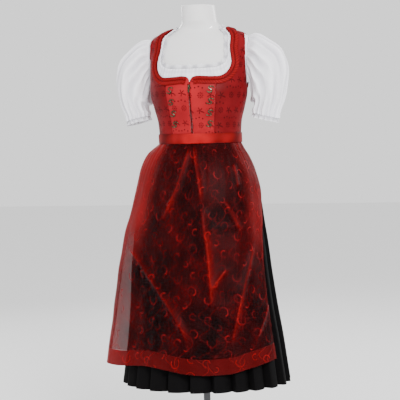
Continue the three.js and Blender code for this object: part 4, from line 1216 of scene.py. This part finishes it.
def over_apron(turn, z, off):
    pleat = smooth(SKIRT, "z", "pleat", z)
    gap = smooth(APRON_CLEAR, "z", "gap", z)
    flare = smooth(APRON_CLEAR, "z", "flare", z) * ease(-FLARE_FROM, -FLARE_FULL, -turn)
    gather = 1.6 * np.exp((z - APRON_TOP_Z) / 40) * np.cos(turn * APRON_GATHERS * DEG * 2)
    small = 0.9 * np.exp((z - APRON_TOP_Z) / 70) * np.cos(turn * DEG * 71 + 1) * ease(APRON_TOP_Z, 985, z)
    fall = 5 * ease(950, 500, z) * np.cos((turn + 8) * 7 * DEG)
    crumple = 1.1 * np.sin(turn * 0.31 + z * 0.021) * np.sin(turn * 0.12 - z * 0.034) * ease(990, 900, z)
    rise, ridge = fold_rise(turn, z)
    pressed = 0
    for level, start, end, depth in zip(*PRESSED.values()):
        inside = ease(start - 8, start + 8, turn) * (1 - ease(end - 8, end + 8, turn))
        bent = z - level - 1.5 * np.sin(turn * 0.2)
        pressed = pressed + depth * inside * np.exp(-np.abs(bent) / 7)
    lift = np.maximum(gather, -0.4) + small + fall * 0.8 + rise + crumple + pressed
    grid = over_skirt(turn, z, pleat + gap + flare + lift + off)
    # The last value says how far the cloth stands away from the skirt, for painted light.
    return grid, ridge, (fall * 0.8 + flare * 0.25 + rise + 5) / 24


TUCK_KNOTS = [
    [-2, 1, -1], [-1.8, 0.75, -1], [-1.6, 0.5, -1], [-1.5, 0.2, -0.93], [-1.25, 0.04, -0.72],
    [-1, 0, -0.5], [-0.6, 0, -0.2], [-0.25, 0, -0.04],
]
APRON_STOPS, TUCK_STOPS = 241, 22
MIDDLE_HEM_Z = 318


def apron_turns(z):
    """Turn and offset of each column at its heights, from the folded-under edge to the right edge."""
    left, right = read(APRON_EDGE, "left right", z)
    back = ease(-900, -690, -z) * (TUCK_REACH + 2 * TUCK_TURNED)
    turned, reached, sunk = path(TUCK_KNOTS, TUCK_STOPS).T[:, :, None]
    tucked, face = slice(TUCK_STOPS), slice(TUCK_STOPS, None)
    turn, off = np.zeros_like(z), np.zeros_like(z)
    turn[tucked] = left[tucked] + turned * TUCK_TURNED + reached * back[tucked]
    off[tucked] = sunk * smooth(APRON_CLEAR, "z", "tuck", z[tucked])
    turn[face] = mix(left[face], right[face], np.linspace(0, 1, APRON_STOPS)[:, None])
    return turn, off


def apron_piece(name, node, rows, top, bottom, thickness, material):
    """A piece of the apron between two heights, which are functions of the turn."""
    low_turn, _ = apron_turns(np.full((TUCK_STOPS + APRON_STOPS, 1), float(MIDDLE_HEM_Z)))
    z = mix(top(low_turn), bottom(low_turn), steps(rows))
    turn, off = apron_turns(z)
    grid, ridge, puff = over_apron(turn, z, off)
    u = run_length(grid[:, -1])
    uv = np.stack([np.broadcast_to(u[:, None], z.shape), SEAM_Z - z], -1)
    edge = np.minimum(u, u[-1] - u)[:, None] + 0 * z
    hemmed = 1 - ease(11, 13, edge)
    # Painted light where the cloth stands away from the skirt; also brighter near the waist and along the
    # hems.
    puff = puff + 0.3 * hemmed + 0.5 * ease(760, 1000, z)
    # Painted light: side marks where the sheer cloth is painted a paler red.
    flare_side = np.maximum(ease(46, 74, -turn), 0.85 * ease(32, 54, -turn) * ease(600, 780, z))
    side = np.maximum(flare_side, 0.5 * ease(50, 66, turn) * ease(560, 760, z))
    fields = {"ridge": np.maximum(ridge, hemmed * 0.16), "puff": np.clip(puff, 0, 1), "side": side,
              "side_height": ease(600, 800, z)}
    cloth(name, grid, thickness, material, "organza", [node], uv=uv, fields=fields)


def hem_at(turn):
    return smooth(APRON_HEM, "turn", "z", turn)


apron_piece("apron_hem_cloth", "apron_hem", 12, lambda turn: hem_at(turn) + HEM_BAND, hem_at,
            HEM_CLOTH, ORGANZA_HEM)
apron_piece("apron_cloth", "apron", 126, lambda turn: APRON_TOP_Z + 0 * turn,
            lambda turn: hem_at(turn) + HEM_BAND + SEAM_GAP, CLOTH, ORGANZA)

# %% Bow
# %% [markdown]
# The apron's ties end in a bow behind the waist: a wrapped knot, two loops and two tails.

KNOT = {"across": 13, "deep": 8, "high": 17, "around": 64, "rows": 33}
KNOT_CORE = 0.6
LOOP = {"from": 14.5, "reach": 78, "half": 11, "half_end": 19, "drop": 26, "deep": 12, "bulge": 8,
        "lift": 10, "around": 120, "rows": 15}
TAIL = {"length": 380, "turn": 4, "spread": 7, "half": 10, "half_end": 15, "lift": 3.5, "from": 7.5,
        "below": 17.5, "stops": 13, "rows": 89}
MID_Z = (BAND_TOP + BAND_BOTTOM) / 2
BACK_Y = float(over_form(180, MID_Z, WAISTBAND[1])[1])


def bow_knot():
    """A wrap with fine pleats round it."""
    turn = laps(KNOT["around"])[:, None]
    tilt = np.linspace(-0.499, 0.499, KNOT["rows"])[None, :] * math.pi
    wrap = (1 + 0.05 * np.cos(turn * 7 + 2 * tilt) * np.cos(tilt)) * np.cos(tilt)
    knot = np.stack([KNOT["across"] * wrap * np.cos(turn), KNOT["deep"] * wrap * np.sin(turn),
                     KNOT["high"] * np.sin(tilt) + 0 * turn], -1)
    knot += [0, BACK_Y + KNOT["deep"] + 0.8, MID_Z]
    middle = knot.mean((0, 1))
    obj = shell("bow_knot_wrap", knot, middle + (knot - middle) * KNOT_CORE, SATIN, True)
    declare(obj, "satin", "bow_knot")


def bow_loop():
    """The right loop: a flat tube that starts at the knot and droops."""
    angle = laps(LOOP["around"])[:, None]
    across = np.linspace(-1, 1, LOOP["rows"])[None, :]
    share = (1 - np.cos(angle)) / 2
    opened = LOOP["deep"] * share ** 0.6 + 1.6
    pleat = 1.1 * np.cos(across * math.pi * 2.5) * (1 - share)
    x = LOOP["from"] + LOOP["reach"] * share + 0 * across
    y = BACK_Y + LOOP["lift"] + LOOP["bulge"] * share + (opened + pleat) * np.sin(angle)
    z = MID_Z - LOOP["drop"] * share - across * mix(LOOP["half"], LOOP["half_end"], share)
    return np.stack([x, y, z], -1)


def bow_tail():
    """The right tail, which hangs on the skirt and widens downwards."""
    t = steps(TAIL["rows"])
    edge = np.linspace(-1, 1, TAIL["stops"])[:, None]
    z = MID_Z - TAIL["below"] - TAIL["length"] * t + 0 * edge
    offset = edge * mix(TAIL["half"], TAIL["half_end"], t)
    turn = 180 - TAIL["turn"] - TAIL["spread"] * t - offset / SKIRT_MM_PER_DEGREE
    wave = 1.2 * np.cos(edge * 4 + t * 9) * ease(0, 0.1, t)
    tail = over_skirt(turn, z, smooth(SKIRT, "z", "pleat", z) + TAIL["lift"] + wave)
    tail[..., 1] = np.maximum(tail[..., 1], BACK_Y + TAIL["from"])
    return tail


bow_knot()
for side, flip in SIDES:
    cloth(f"bow_loop_{side}_ribbon", flip(bow_loop()), CLOTH, SATIN, "satin", [f"bow_loop_{side}"],
          closed=True)
    cloth(f"bow_tail_{side}_ribbon", flip(bow_tail()), CLOTH, SATIN, "satin", [f"bow_tail_{side}"])

# %% Hooks
# %% [markdown]
# Cast scrolls like a letter S, each a rounded band that tapers to its ends.


HOOK_SIDES, HOOK_STOPS = 14, 64
HOOK_HALF, HOOK_RISE = 2.1, 1.1


def hook(name, line, side, z, lift):
    """One scroll: a rounded band along the line, laid on the bodice."""
    run = unit(np.gradient(line, axis=0))
    across = np.stack([-run[:, 1], run[:, 0]], -1)
    lap = laps(HOOK_SIDES)
    taper = 0.55 + 0.45 * np.sin(np.linspace(0, math.pi, len(line)))[:, None] ** 0.4
    flat = line[:, None] + across[:, None] * (HOOK_HALF * taper * np.cos(lap))[..., None]
    seat = over_form(side * HOOK_TURN, z, 0)
    out = unit(form_gradient(seat))
    right = unit(np.cross([0, 0, 1], out))
    up = np.cross(out, right)
    placed = seat + flat[..., :1] * right + flat[..., 1:] * up
    height = HOOK_RISE + HOOK_RISE * np.sin(lap) * (0.75 + 0.25 * taper)
    rings = onto_form(placed, BODICE[1] + lift + height)
    verts = np.concatenate([*rings, rings[0].mean(0)[None], rings[-1].mean(0)[None]]) * MM
    faces = ring_faces(HOOK_SIDES, len(rings))
    end = len(verts) - 2
    last = end - HOOK_SIDES
    for n in range(HOOK_SIDES):
        m = (n + 1) % HOOK_SIDES
        faces += [(end, m, n), (end + 1, last + n, last + m)]
    obj = new_object(f"{name}_scroll", verts.tolist(), faces, ANTIQUE)
    obj.data.shade_smooth()
    declare(obj, "antique", name)


def hooks():
    line = path(SCROLL, HOOK_STOPS)
    for side, word in ((-1, "left"), (1, "right")):
        for k, (z, lift) in enumerate(zip(*HOOKS.values()), 1):
            hook(f"hook_{word}_{k}", line, side, z, lift)


hooks()

# %% Zip
# %% [markdown]
# The closed chain is tape with a row of teeth, made as one joined mesh; slider, bail and tab are the
# solids with the metal's finish.

TAPE_HALF, TAPE_STOPS, TAPE_ROWS, TAPE_TOP, TAPE_RISE = 1.9, 9, 90, 1196, 1.1
TOOTH_SIZE, TOOTH_BEVEL, TOOTH_PITCH, TOOTH_RISE, TOOTH_SHIFT = (2.2, 0.9, 0.8), 0.2, 1.5, 1.5, 0.5
TEETH_TOP, TEETH_BOTTOM = 1172, 1008


def rounded_box(size, bevel):
    """Corners and faces of a small box with bevelled edges, in millimetres."""
    bm = bmesh.new()
    bmesh.ops.create_cube(bm, size=1.0)
    bmesh.ops.scale(bm, vec=size, verts=bm.verts)
    bmesh.ops.bevel(bm, geom=bm.edges[:], offset=bevel, segments=2, affect="EDGES")
    verts = np.array([vert.co for vert in bm.verts])
    faces = [[vert.index for vert in face.verts] for face in bm.faces]
    bm.free()
    return verts, faces


def zip_tape():
    z = np.linspace(TAPE_TOP, BODICE_BOTTOM, TAPE_ROWS)
    x = np.linspace(-TAPE_HALF, TAPE_HALF, TAPE_STOPS)

    def layer(off):
        grid = np.repeat(over_form(0 * z, z, off)[None], len(x), 0)
        grid[..., 0] = x[:, None]
        return grid

    tape = shell("zip_tape", layer(BODICE[0] + TAPE_RISE), layer(BODICE[0]), ZIP_TAPE)
    declare(tape, "zip", "zip_chain")


def zip_teeth():
    z = np.arange(TEETH_TOP, TEETH_BOTTOM, -TOOTH_PITCH)
    places = over_form(0 * z, z, BODICE[0] + TOOTH_RISE)
    places[:, 0] = np.where(np.arange(len(z)) % 2 == 0, -TOOTH_SHIFT, TOOTH_SHIFT)
    out = unit(form_gradient(places))
    box, box_faces = rounded_box(TOOTH_SIZE, TOOTH_BEVEL)
    verts, faces = [], []
    for place, pitch in zip(places, np.arctan2(out[:, 2], -out[:, 1])):
        turn = np.array(Matrix.Rotation(-pitch, 3, "X"))
        faces += [[index + len(verts) * len(box) for index in face] for face in box_faces]
        verts.append(box @ turn.T + place)
    teeth = new_object("zip_teeth", (np.concatenate(verts) * MM).tolist(), faces, ZIP_TEETH)
    teeth.data.shade_smooth()


zip_tape()
zip_teeth()
for name in ("zip_slider", "zip_bail", "zip_pull_tab"):
    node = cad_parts[name]
    node.data.materials.clear()
    node.data.materials.append(ANTIQUE)

# %% Camera, light and floor
# %% [markdown]
# The camera stands 15 degrees to the viewer's right of the front and 3 degrees up, with a long lens
# and a small roll, as in the photograph. Places are in metres and powers in watts.

AZIMUTH, ELEVATION, ROLL, DISTANCE, AIM_Z = 15 * DEG, 3 * DEG, 1.5 * DEG, 4.2, 0.823
LENS, SHIFT_X = 118, -0.005
LIGHTS = [
    ("key", (1.9, -3.0, 2.6), (0, 0, 1.0), 1.2, 190),
    ("fill", (-2.6, -2.6, 1.6), (0, 0, 0.8), 2.6, 30),
    ("back_left", (-1.8, 2.4, 2.4), (0, 0, 1.0), 1.8, 40),
    ("back_right", (2.2, 2.2, 2.0), (0, 0, 1.0), 1.8, 40),
]
SKY, FLOOR_REACH, FLOOR_GREY = 1.3, 14, 0.86


def place_camera():
    flat = math.cos(ELEVATION)
    back = Vector((math.sin(AZIMUTH) * flat, -math.cos(AZIMUTH) * flat, math.sin(ELEVATION)))
    right = Vector((math.cos(AZIMUTH), math.sin(AZIMUTH), 0))
    up = back.cross(right)
    x_axis = right * math.cos(ROLL) - up * math.sin(ROLL)
    y_axis = right * math.sin(ROLL) + up * math.cos(ROLL)
    data = bpy.data.cameras.new("camera")
    data.lens = LENS
    data.shift_x = SHIFT_X
    camera = to_scene("camera", data)
    turn = Matrix((x_axis, y_axis, back)).transposed().to_4x4()
    camera.matrix_world = Matrix.Translation(back * DISTANCE + Vector((0, 0, AIM_Z))) @ turn
    bpy.context.scene.camera = camera


def place_lights():
    for name, place, aim, size, power in LIGHTS:
        data = bpy.data.lights.new(name, "AREA")
        data.shape = "DISK"
        data.size = size
        data.energy = power
        obj = to_scene(name, data)
        obj.location = place
        obj.rotation_euler = (Vector(aim) - Vector(place)).to_track_quat("-Z", "Y").to_euler()
    world = bpy.data.worlds.new("studio")
    world.use_nodes = True
    background = world.node_tree.nodes["Background"]
    background.inputs["Color"].default_value = (1, 1, 1, 1)
    background.inputs["Strength"].default_value = SKY
    bpy.context.scene.world = world


def place_floor():
    r = FLOOR_REACH
    mesh = bpy.data.meshes.new("floor")
    mesh.from_pydata([(-r, -r, 0), (r, -r, 0), (r, r, 0), (-r, r, 0)], [], [(0, 1, 2, 3)])
    paint = Paint("floor", Base_Color=(FLOOR_GREY, FLOOR_GREY, FLOOR_GREY, 1), Roughness=0.9)
    mesh.materials.append(paint.material)
    to_scene("floor", mesh)


place_camera()
place_lights()
place_floor()
